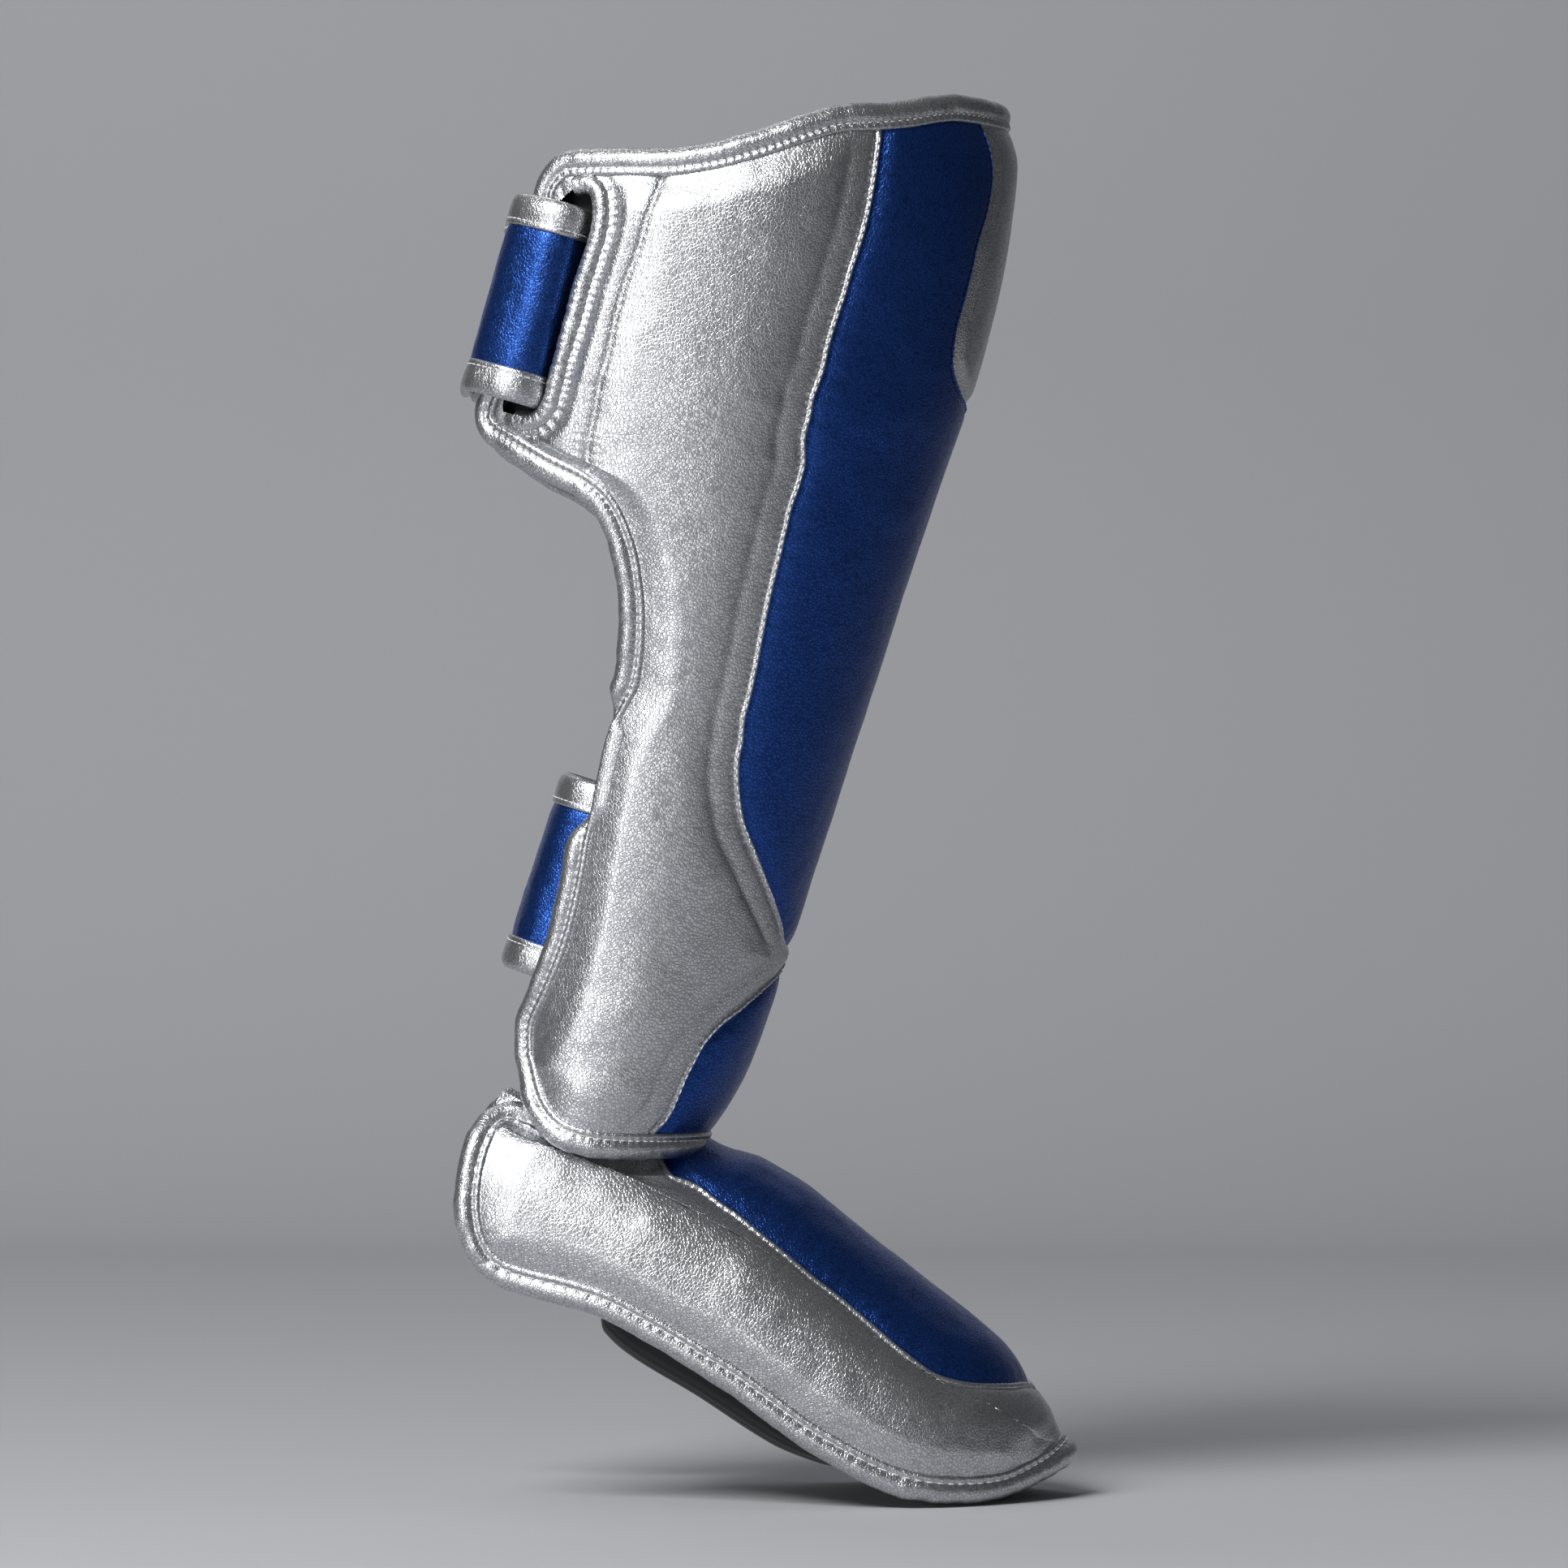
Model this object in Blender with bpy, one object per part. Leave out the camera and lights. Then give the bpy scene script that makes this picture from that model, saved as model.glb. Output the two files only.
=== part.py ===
"""A padded leather shin and instep guard for one leg, shown as it is worn.

The shin shell is one smooth surface of flattened half-ellipses, stacked up the leg, and the instep shell
is one of arches along the foot. Every panel, lining and edge roll is laid on one of these two surfaces,
so that neighbours share the same seam lines and keep the same small gap.
+X points to the toe, +Z up the leg, and the side that carries the strap slot faces -Y.
"""

import math

import bmesh
import bpy
import numpy as np

# Driving sizes of the shin shell, in metres.
SHIN_HEIGHT = 0.3416  # from the lower to the upper edge of its panels
SHIN_DEPTH = 0.1873  # front to back of the calf's full oval
SHIN_HALF_WIDTH = 0.071
SHIN_BASE = -0.1189  # height of the lower edge, below the seat on the leg's axis
SHIN_FRONT_WALL = 0.020
SHIN_FLANK_WALL = 0.012

# Driving sizes of the instep shell.
FOOT_LENGTH = 0.2118  # along the slope, from the rearmost corner's line to the toe edge
FOOT_HALF_WIDTH = 0.060
FOOT_ARCH = 0.053  # how far a full quarter arch drops
FOOT_SLOPE = math.radians(37.0)
FOOT_START = (-0.0624, -0.1165)  # x and z where the measure along the foot begins
INSTEP_WALL = 0.012

# Leather, lining and edge rolls.
RIM_WALL = 0.006
LINING_WALL = 0.002
LINING_GAP = 0.0016
FOOT_LINING_GAP = 0.0030
FOOT_LINING_SET_BACK = 0.02  # a share of the shell's length
SEAM_GAP = 0.0004
FOOT_SEAM_GAP = 0.0011  # measured round the arch, across which the seam runs at a slant
PIECE_GAP = 0.0004
TIP_GAP = 0.005  # a share of the shell's height, between a tongue's point and the seam's
FLANK_PUFF = 0.003
INSTEP_PUFF = 0.0025
SEAM_DIP = 0.0012
PUFF_RUN = 0.014
TAPER_RUN = 0.040
BINDING_RADIUS = 0.0042
SLOT_BINDING_RADIUS = 0.0028
BAR_WIDTH = 0.0032

# Straps.
STRAP_WIDTH = 0.048
STRAP_THICKNESS = 0.003
STRAP_EDGE_WIDTH = 0.0102
STRAP_EDGE_THICKNESS = 0.0044
STRAP_CLEARANCE = 0.0005
STRAP_END_GAP = 0.020
FOLD_REACH = 0.0080
UPPER_STRAP_PLACE = 0.838  # height where each strap leaves the rim, a share of SHIN_HEIGHT
LOWER_STRAP_PLACE = 0.258
UPPER_STRAP_TILT = math.radians(15.5)
LOWER_STRAP_TILT = math.radians(18.0)
UPPER_STRAP_LIFT = 0.0020  # how far its outer lay stands off the rim's roll, past the clearance
UPPER_SEWN_LIFT = 0.0040
LOWER_STRAP_LIFT = 0.0055
INNER_LAY_BOW = 0.0052  # how far the inner lay bows in behind the calf, ahead of the outer one's line
INNER_LAY_EXTRA = 0.0015
INNER_LAY_LEAD = 0.006
OUTER_LAY_BOW = 0.0012
OUTER_LAY_DRIFT = 0.0042
FOLD_LEAD = 0.001
LOWER_STRAP_EXTRA = 0.002
LOWER_STRAP_BOWS = (0.012, 0.014, 0.013)  # behind the rim, from the near side to the far one
SOLE_STRAP_THICKNESS = 0.002
SOLE_SEWN_HEIGHT = 0.012
SOLE_LINING_GAP = 0.0016
SOLE_RIM_GAP = 0.0012
SOLE_SAG = (0.002, 0.0025)  # halfway to the middle, and in the middle
WEB_THICKNESS = 0.0015
WEB_SAG = (0.0125, 0.0, 0.0065)  # how far its bend hangs behind and below the straight way across
SHIN_WEB_REACH = 0.30  # how far round each shell the hidden tab goes, a share of the way to the rim
FOOT_WEB_REACH = 0.20

# Sections of the shin's oval. Columns: height, a share of SHIN_HEIGHT above the lower edge; front, how far
# the oval's front lies ahead of the leg's axis, and depth, its length back from there, shares of SHIN_DEPTH;
# width, a share of SHIN_HALF_WIDTH.
SHIN_SECTIONS = (
    (0.00, 0.004, 0.435, 0.70),
    (0.06, 0.067, 0.464, 0.70),
    (0.12, 0.109, 0.500, 0.72),
    (0.18, 0.146, 0.536, 0.73),
    (0.28, 0.203, 0.580, 0.78),
    (0.40, 0.274, 0.638, 0.83),
    (0.56, 0.368, 0.783, 0.92),
    (0.67, 0.435, 0.900, 0.97),
    (0.72, 0.468, 0.950, 0.99),
    (0.80, 0.510, 1.000, 1.00),
    (0.88, 0.542, 1.000, 1.00),
    (0.96, 0.558, 0.995, 0.98),
    (1.00, 0.545, 0.985, 0.97),
)

# Lines on the shin as they are seen from the side. Columns: height, a share of SHIN_HEIGHT; ahead of the
# leg's axis, a share of SHIN_DEPTH.
REAR_RIM = (
    (0.083, -0.316),
    (0.107, -0.316),
    (0.146, -0.287),
    (0.170, -0.268),
    (0.210, -0.243),
    (0.258, -0.223),
    (0.313, -0.206),
    (0.369, -0.186),
    (0.406, -0.167),
    (0.422, -0.148),
    (0.444, -0.126),
    (0.472, -0.117),
    (0.516, -0.113),
    (0.560, -0.122),
    (0.603, -0.145),
    (0.630, -0.174),
    (0.649, -0.217),
    (0.665, -0.275),
    (0.684, -0.333),
    (0.707, -0.386),
    (0.731, -0.372),
    (0.798, -0.333),
    (0.878, -0.293),
    (0.930, -0.272),
)
TOP_EDGE = (
    (0.998, 0.545),
    (0.998, 0.529),
    (1.000, 0.450),
    (0.998, 0.420),
    (0.991, 0.362),
    (0.988, 0.316),
    (0.985, 0.246),
    (0.976, 0.188),
    (0.965, 0.130),
    (0.955, 0.072),
    (0.947, 0.014),
    (0.942, -0.072),
    (0.943, -0.188),
    (0.943, -0.246),
    (0.930, -0.272),
)
BOTTOM_EDGE = (
    (0.001, 0.004),
    (0.003, -0.106),
    (0.005, -0.174),
    (0.011, -0.232),
    (0.019, -0.261),
    (0.035, -0.287),
    (0.051, -0.300),
    (0.083, -0.316),
)
FRONT_SEAM = (
    (0.182, 0.145),
    (0.194, 0.142),
    (0.210, 0.138),
    (0.226, 0.130),
    (0.242, 0.120),
    (0.258, 0.109),
    (0.273, 0.099),
    (0.289, 0.087),
    (0.305, 0.075),
    (0.321, 0.068),
    (0.353, 0.062),
    (0.385, 0.068),
    (0.417, 0.075),
    (0.480, 0.101),
    (0.607, 0.152),
    (0.679, 0.180),
    (0.734, 0.203),
    (0.778, 0.225),
    (0.814, 0.246),
    (0.842, 0.261),
    (0.897, 0.297),
    (0.957, 0.312),
    (0.988, 0.316),
)
KNEE_SEAM = (
    (0.719, 0.468),
    (0.734, 0.458),
    (0.766, 0.443),
    (0.806, 0.455),
    (0.870, 0.484),
    (0.913, 0.506),
    (0.940, 0.514),
    (0.973, 0.509),
    (0.998, 0.493),
)
ANKLE_SEAM = (
    (0.003, -0.090),
    (0.023, -0.061),
    (0.039, -0.048),
    (0.063, -0.029),
    (0.087, -0.006),
    (0.106, 0.022),
    (0.125, 0.065),
    (0.142, 0.101),
    (0.166, 0.133),
)
SLOT_LINE = (
    (0.931, -0.235),
    (0.934, -0.214),
    (0.927, -0.191),
    (0.910, -0.186),
    (0.889, -0.188),
    (0.862, -0.203),
    (0.834, -0.222),
    (0.802, -0.236),
    (0.774, -0.251),
    (0.742, -0.267),
    (0.718, -0.277),
    (0.705, -0.293),
    (0.701, -0.315),
    (0.704, -0.340),
)

# The instep's arches. Columns: along, a share of FOOT_LENGTH from the start; top, the height of the arch's
# crown above the sloping line, a share of FOOT_ARCH; width, a share of FOOT_HALF_WIDTH.
FOOT_SECTIONS = (
    (-0.06, 0.48, 0.63),
    (0.06, 0.54, 0.77),
    (0.19, 0.62, 0.83),
    (0.26, 0.65, 0.88),
    (0.31, 0.73, 0.92),
    (0.43, 0.775, 0.95),
    (0.57, 0.755, 0.98),
    (0.70, 0.745, 1.00),
    (0.83, 0.718, 0.98),
    (0.90, 0.650, 0.88),
    (0.96, 0.535, 0.74),
    (1.00, 0.500, 0.55),
)

# Lines on the instep as they are seen from the side. Columns: along, a share of FOOT_LENGTH; above the
# sloping line, a share of FOOT_ARCH.
FOOT_REAR_EDGE = (
    (0.285, 0.750),
    (0.280, 0.600),
    (0.255, 0.455),
    (0.208, 0.290),
    (0.142, 0.140),
    (0.092, 0.080),
    (0.032, 0.010),
    (-0.020, -0.020),
    (-0.033, -0.120),
    (-0.025, -0.236),
    (-0.003, -0.425),
    (0.015, -0.533),
    (0.045, -0.650),
    (0.077, -0.730),
)
FOOT_RIM = (
    (0.077, -0.730),
    (0.100, -0.733),
    (0.131, -0.692),
    (0.203, -0.564),
    (0.280, -0.461),
    (0.337, -0.425),
    (0.426, -0.385),
    (0.515, -0.354),
    (0.581, -0.354),
    (0.644, -0.351),
    (0.703, -0.323),
    (0.760, -0.287),
    (0.813, -0.226),
    (0.881, -0.072),
    (0.940, 0.123),
    (0.976, 0.359),
)
TOE_REACH = 0.987  # where the toe edge crosses the crown, a share of FOOT_LENGTH
FOOT_SEAM = (
    (0.197, 0.349),
    (0.265, 0.426),
    (0.337, 0.426),
    (0.435, 0.420),
    (0.567, 0.400),
    (0.667, 0.379),
    (0.733, 0.369),
    (0.758, 0.369),
    (0.789, 0.415),
    (0.852, 0.590),
    (0.890, 0.665),
)

# The elastic band under the sole. Columns: along, a share of FOOT_LENGTH; drop of its flat stretch below
# the sloping line, a share of FOOT_ARCH.
SOLE_SECTIONS = (
    (0.26, 0.715),
    (0.33, 0.713),
    (0.47, 0.651),
    (0.61, 0.605),
    (0.68, 0.533),
    (0.72, 0.470),
)

# The hidden tab at the ankle. Columns: place up the shin or along the foot, a share; gap to the lining, in
# metres.
SHIN_WEB_ROWS = (
    (0.05, 0.0022),
    (0.01, 0.0060),
)
FOOT_WEB_ROWS = (
    (0.01, 0.0060),
    (0.07, 0.0011),
)

# How finely the surfaces are laid out.
SHIN_ROWS = (
    0.0, 0.03, 0.06, 0.09, 0.12, 0.14, 0.155, 0.195, 0.215, 0.24, 0.27, 0.31, 0.35, 0.385, 0.41, 0.44,
    0.49, 0.54, 0.59, 0.63, 0.655, 0.675, 0.70, 0.735, 0.77, 0.82, 0.87, 0.93, 0.975, 1.0,
)
LINING_ROWS = (
    0.0, 0.03, 0.08, 0.14, 0.20, 0.27, 0.34, 0.39, 0.43, 0.49, 0.56, 0.61, 0.645, 0.675, 0.70, 0.735,
    0.80, 0.87, 0.94, 1.0,
)
LINING_SET_BACK = 0.0006
FOOT_ROWS = (0.0, 0.04, 0.10, 0.18, 0.27, 0.37, 0.47, 0.57, 0.67, 0.76, 0.81, 0.84, 0.86, 0.94, 0.975, 1.0)
SIDE_COLUMNS = 10
FRONT_COLUMNS = 4
TONGUE_COLUMNS = 6
LINING_COLUMNS = 18
FOOT_SIDE_COLUMNS = 5


def start_scene():
    for obj in list(bpy.data.objects):
        bpy.data.objects.remove(obj, do_unlink=True)
    scene = bpy.context.scene
    parts = bpy.data.collections.new("shin_guard")
    cutters = bpy.data.collections.new("cutters")
    scene.collection.children.link(parts)
    scene.collection.children.link(cutters)
    return parts, cutters


def material(name, colour, roughness, metallic=0.0):
    made = bpy.data.materials.new(name)
    made.use_nodes = True
    shader = made.node_tree.nodes["Principled BSDF"]
    shader.inputs["Base Color"].default_value = (*colour, 1.0)
    shader.inputs["Roughness"].default_value = roughness
    shader.inputs["Metallic"].default_value = metallic
    made.diffuse_color = (*colour, 1.0)
    return made


def smooth(xs, ys):
    """A smooth curve through the points that never overshoots them (a monotone cubic), held flat outside."""
    xs = np.asarray(xs, float)
    ys = np.asarray(ys, float)
    step = np.diff(xs)
    slope = np.diff(ys) / step
    inner = np.zeros(len(xs))
    inner[0] = slope[0]
    inner[-1] = slope[-1]
    for i in range(1, len(xs) - 1):
        if slope[i - 1] * slope[i] > 0:
            a = 2 * step[i] + step[i - 1]
            b = step[i] + 2 * step[i - 1]
            inner[i] = (a + b) / (a / slope[i - 1] + b / slope[i])

    def value(x):
        x = np.clip(np.asarray(x, float), xs[0], xs[-1])
        i = np.clip(np.searchsorted(xs, x) - 1, 0, len(xs) - 2)
        h = step[i]
        t = (x - xs[i]) / h
        return (
            ys[i] * (1 + 2 * t) * (1 - t) ** 2
            + h * inner[i] * t * (1 - t) ** 2
            + ys[i + 1] * t * t * (3 - 2 * t)
            + h * inner[i + 1] * t * t * (t - 1)
        )

    return value


def ease(t):
    t = np.clip(t, 0.0, 1.0)
    return t * t * (3 - 2 * t)


def unit(vectors):
    return vectors / np.maximum(np.linalg.norm(vectors, axis=-1, keepdims=True), 1e-12)


# The shin's surface. w runs round from 0 at the front to 1 at the near rim and -1 at the far one, and v up
# from 0 at the lower edge to 1 at the upper one.
heights, fronts, depths, widths = np.array(SHIN_SECTIONS).T
section_front = smooth(heights * SHIN_HEIGHT + SHIN_BASE, fronts * SHIN_DEPTH)
section_depth = smooth(heights * SHIN_HEIGHT + SHIN_BASE, depths * SHIN_DEPTH)
section_width = smooth(heights * SHIN_HEIGHT + SHIN_BASE, widths * SHIN_HALF_WIDTH)


def seen_on_shin(table):
    """Angle round the oval and height of each row of a side-view line."""
    share = np.array(table)
    z = SHIN_BASE + share[:, 0] * SHIN_HEIGHT
    back = section_front(z) - share[:, 1] * SHIN_DEPTH
    return np.arccos(np.clip(1 - 2 * back / section_depth(z), -1, 1)), z


rim_angle, rim_z = seen_on_shin(REAR_RIM)
rim_of_v = smooth((rim_z - rim_z[0]) / (rim_z[-1] - rim_z[0]), rim_angle)
top_angle, top_z = seen_on_shin(TOP_EDGE)
top_of_w = smooth(top_angle / top_angle[-1], top_z)
bottom_angle, bottom_z = seen_on_shin(BOTTOM_EDGE)
bottom_of_w = smooth(bottom_angle / bottom_angle[-1], bottom_z)


def shin_oval(z, angle):
    x = section_front(z) - section_depth(z) / 2 * (1 - np.cos(angle))
    return np.stack([x, -section_width(z) * np.sin(angle), z], axis=-1)


def shin_place(w, v):
    side = np.abs(w)
    return bottom_of_w(side) + v * (top_of_w(side) - bottom_of_w(side)), w * rim_of_v(v)


def outward(surface, along, angle, step, forwards):
    """Outward normals of a shell, from small steps up or along it and round it."""
    up = surface(along + step, angle) - surface(along - step, angle)
    round_it = surface(along, angle + 0.02) - surface(along, angle - 0.02)
    return unit(np.cross(up, round_it)) * forwards


def shin_normal(w, v):
    z, angle = shin_place(w, v)
    return outward(shin_oval, z, angle, 0.002, 1.0)


def shin_base_point(w, v):
    return shin_oval(*shin_place(w, v))


def shin_point(w, v, depth):
    """The point of the shin's surface at (w, v), moved inwards by depth."""
    w = np.asarray(w, float)
    v = np.asarray(v, float) + 0 * w
    w = w + 0 * v
    return shin_base_point(w, v) - shin_normal(w, v) * np.asarray(depth)[..., None]


def on_shin(table):
    """(w, v) of each row of a side-view line on the shin."""
    angle, z = seen_on_shin(table)
    v = (z - SHIN_BASE) / SHIN_HEIGHT
    for _ in range(20):
        w = angle / rim_of_v(v)
        v = (z - bottom_of_w(w)) / (top_of_w(w) - bottom_of_w(w))
    return w, v


def seam_of(table, tip_first):
    """w of a seam as a function of v, nothing at its tip, which is the table's first or last row."""
    w, v = on_shin(table)
    w[0 if tip_first else -1] = 0.0
    return smooth(v, w), v[0 if tip_first else -1]


def shin_girth(v):
    """Length round the shell from the front to one rim."""
    steps = np.linspace(0, 1, 15)
    line = np.array([shin_base_point(steps, np.full(15, float(one))) for one in np.atleast_1d(v)])
    return np.linalg.norm(np.diff(line, axis=1), axis=2).sum(axis=1)


girth_of_v = smooth(SHIN_ROWS, shin_girth(np.array(SHIN_ROWS)))


def to_edge_of_shin(w, v):
    """Distance to the nearest edge of the shell."""
    side = np.abs(w)
    height = top_of_w(side) - bottom_of_w(side)
    return np.minimum((1 - side) * girth_of_v(v), np.minimum(v, 1 - v) * height)


def to_seam_of_shin(w, v):
    """Distance to the nearest sewn seam, measured past a seam's tip too."""
    side = np.abs(w)
    nearest = np.full(side.shape, 1.0)
    for seam, beyond in (
        (front_seam, front_tip - v),
        (knee_seam, knee_tip - v),
        (ankle_seam, v - ankle_tip),
    ):
        past = np.maximum(beyond, 0)
        across = side - np.where(past > 0, 0, seam(v))
        nearest = np.minimum(nearest, np.hypot(across * girth_of_v(v), past * SHIN_HEIGHT))
    return nearest


def shin_wall(w, v):
    full = SHIN_FLANK_WALL + (SHIN_FRONT_WALL - SHIN_FLANK_WALL) * (1 - ease(np.abs(w) / 0.6))
    return RIM_WALL + (full - RIM_WALL) * ease(to_edge_of_shin(w, v) / TAPER_RUN)


front_seam, front_tip = seam_of(FRONT_SEAM, True)
knee_seam, knee_tip = seam_of(KNEE_SEAM, True)
ankle_seam, ankle_tip = seam_of(ANKLE_SEAM, False)


# The instep's surface: w runs round the arch as on the shin, and u from the heel end to the toe end.
alongs, crowns, spreads = np.array(FOOT_SECTIONS).T
foot_crown = smooth(alongs * FOOT_LENGTH, crowns * FOOT_ARCH)
foot_spread = smooth(alongs * FOOT_LENGTH, spreads * FOOT_HALF_WIDTH)


def seen_on_foot(table):
    """Angle round the arch and distance along the foot of each row of a side-view line."""
    share = np.array(table)
    s = share[:, 0] * FOOT_LENGTH
    return np.arccos(np.clip(1 - (foot_crown(s) - share[:, 1] * FOOT_ARCH) / FOOT_ARCH, -1, 1)), s


edge_angle, edge_s = seen_on_foot(FOOT_REAR_EDGE)
start_of_w = smooth(edge_angle / edge_angle[-1], edge_s)
foot_rim_angle, foot_rim_s = seen_on_foot(FOOT_RIM)
foot_rim_angle[0] = edge_angle[-1]
foot_rim = smooth((foot_rim_s - foot_rim_s[0]) / (foot_rim_s[-1] - foot_rim_s[0]), foot_rim_angle)


def foot_arch(along, angle):
    rise = foot_crown(along) - FOOT_ARCH * (1 - np.cos(angle))
    x = FOOT_START[0] + along * math.cos(FOOT_SLOPE) + rise * math.sin(FOOT_SLOPE)
    z = FOOT_START[1] - along * math.sin(FOOT_SLOPE) + rise * math.cos(FOOT_SLOPE)
    return np.stack([x, -foot_spread(along) * np.sin(angle), z], axis=-1)


def foot_place(w, u):
    side = np.abs(w)
    start = start_of_w(side)
    end = TOE_REACH * FOOT_LENGTH + (foot_rim_s[-1] - TOE_REACH * FOOT_LENGTH) * side**2
    return start + u * (end - start), w * foot_rim(u)


def foot_normal(w, u):
    along, angle = foot_place(w, u)
    return outward(foot_arch, along, angle, 0.002, -1.0)


def foot_point(w, u, depth):
    w = np.asarray(w, float)
    u = np.asarray(u, float) + 0 * w
    w = w + 0 * u
    return foot_arch(*foot_place(w, u)) - foot_normal(w, u) * np.asarray(depth)[..., None]


def to_edge_of_foot(w, u):
    around = FOOT_HALF_WIDTH * foot_rim(u)
    return np.minimum((1 - np.abs(w)) * around, np.minimum(u, 1 - u) * FOOT_LENGTH * 0.8)


def foot_wall(w, u):
    return RIM_WALL + (INSTEP_WALL - RIM_WALL) * ease(to_edge_of_foot(w, u) / TAPER_RUN)


TOEWARDS = (math.cos(FOOT_SLOPE), 0.0, -math.sin(FOOT_SLOPE))
seam_angle, seam_s = seen_on_foot(FOOT_SEAM)
seam_angle[-1] = 0.0
seam_start = start_of_w(seam_angle / foot_rim(0.0))
seam_u = np.clip((seam_s - seam_start) / (foot_rim_s[-1] - seam_start), 0, 1)
instep_seam = smooth(seam_u, seam_angle / foot_rim(seam_u))
instep_tip = seam_u[-1]


def solid(name, patches, collection, look, order=(0.0, 0.0, 1.0)):
    """One closed body from patches of (outer points, inner points), each a grid: both skins, and a wall along
    every open edge. Grid points that coincide are one."""
    outer = np.concatenate([o.reshape(-1, 3) for o, _ in patches])
    inner = np.concatenate([i.reshape(-1, 3) for _, i in patches])
    _, first, index = np.unique(np.round(outer, 7) + 0.0, axis=0, return_index=True, return_inverse=True)
    index = index.reshape(-1)
    outer, inner = outer[first], inner[first]
    faces, start = [], 0
    for grid, _ in patches:
        rows, columns = grid.shape[:2]
        numbers = index[start : start + rows * columns].reshape(rows, columns)
        start += rows * columns
        for r in range(rows - 1):
            for c in range(columns - 1):
                quad = [numbers[r, c], numbers[r, c + 1], numbers[r + 1, c + 1], numbers[r + 1, c]]
                for corners in ((0, 1, 2), (0, 2, 3)):
                    face = [quad[k] for k in corners]
                    if len(set(face)) == 3:
                        faces.append(face)
    count = len(outer)
    edges = {}
    for face in faces:
        for k, a in enumerate(face):
            b = face[(k + 1) % len(face)]
            edges[(a, b)] = edges.get((a, b), 0) + 1
    walls = []
    for a, b in edges:
        if (b, a) in edges:
            continue
        # Both panels of a seam split each stretch of wall the same way, from the outer corner that comes
        # first in the direction of order.
        if outer[a] @ order < outer[b] @ order:
            walls += [[b, a, b + count], [a, a + count, b + count]]
        else:
            walls += [[b, a, a + count], [b, a + count, b + count]]
    backs = [[q + count for q in reversed(face)] for face in faces]
    mesh = bpy.data.meshes.new(name)
    mesh.from_pydata(np.concatenate([outer, inner]).tolist(), [], faces + backs + walls)
    shape = bmesh.new()
    shape.from_mesh(mesh)
    bmesh.ops.recalc_face_normals(shape, faces=shape.faces)
    shape.to_mesh(mesh)
    shape.free()
    obj = bpy.data.objects.new(name, mesh)
    obj.data.materials.append(look)
    collection.objects.link(obj)
    return obj


def tube(name, points, radius, closed, collection, look):
    curve = bpy.data.curves.new(name, "CURVE")
    curve.dimensions = "3D"
    curve.bevel_depth = radius
    curve.bevel_resolution = 2
    curve.use_fill_caps = not closed
    spline = curve.splines.new("POLY")
    spline.points.add(len(points) - 1)
    for target, point in zip(spline.points, points):
        target.co = (*point, 1.0)
    spline.use_cyclic_u = closed
    obj = bpy.data.objects.new(name, curve)
    obj.data.materials.append(look)
    collection.objects.link(obj)
    return obj


def beside(line, outwards, distance, closed):
    """A line at the given distance from an edge line, its corners mitred. outwards are the surface's normals."""
    ahead = np.roll(line, -1, axis=0) - line
    if not closed:
        ahead[-1] = ahead[-2]
    away = unit(np.cross(unit(ahead), outwards))
    before = np.roll(away, 1, axis=0)
    if not closed:
        before[0] = away[0]
    mitre = 1 + np.sum(away * before, axis=1, keepdims=True)
    return line + distance * (away + before) / np.maximum(mitre, 0.9)


def shin_patch(left, right, rows, columns, puff):
    """A panel's two skins between two seams, whose w at each v is what left and right give."""
    v = np.array(rows)[:, None]
    share = (1 - np.cos(np.linspace(0, math.pi, columns + 1))) / 2
    share = (share + np.linspace(0, 1, columns + 1)) / 2
    w_left, w_right = left(v), right(v)
    w = w_left + (w_right - w_left) * share
    v = v + 0 * w
    to_seam = to_seam_of_shin(w, v)
    to_edge = to_edge_of_shin(w, v)
    dip = SEAM_DIP * (1 - ease(to_seam / PUFF_RUN))
    rise = puff * ease(np.minimum(to_edge, to_seam) / PUFF_RUN)
    inner = shin_wall(w, v) - LINING_WALL - LINING_GAP
    return shin_point(w, v, dip - rise), shin_point(w, v, inner)


def gap_in_w(v):
    return SEAM_GAP / 2 / girth_of_v(v)


def rows_between(low, high):
    inside = [row for row in SHIN_ROWS if low + 0.012 < row < high - 0.012]
    return [low, *inside, high]


def mirrored(patches):
    flip = np.array([1.0, -1.0, 1.0])
    return [(outer[:, ::-1] * flip, inner[:, ::-1] * flip) for outer, inner in patches]


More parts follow.
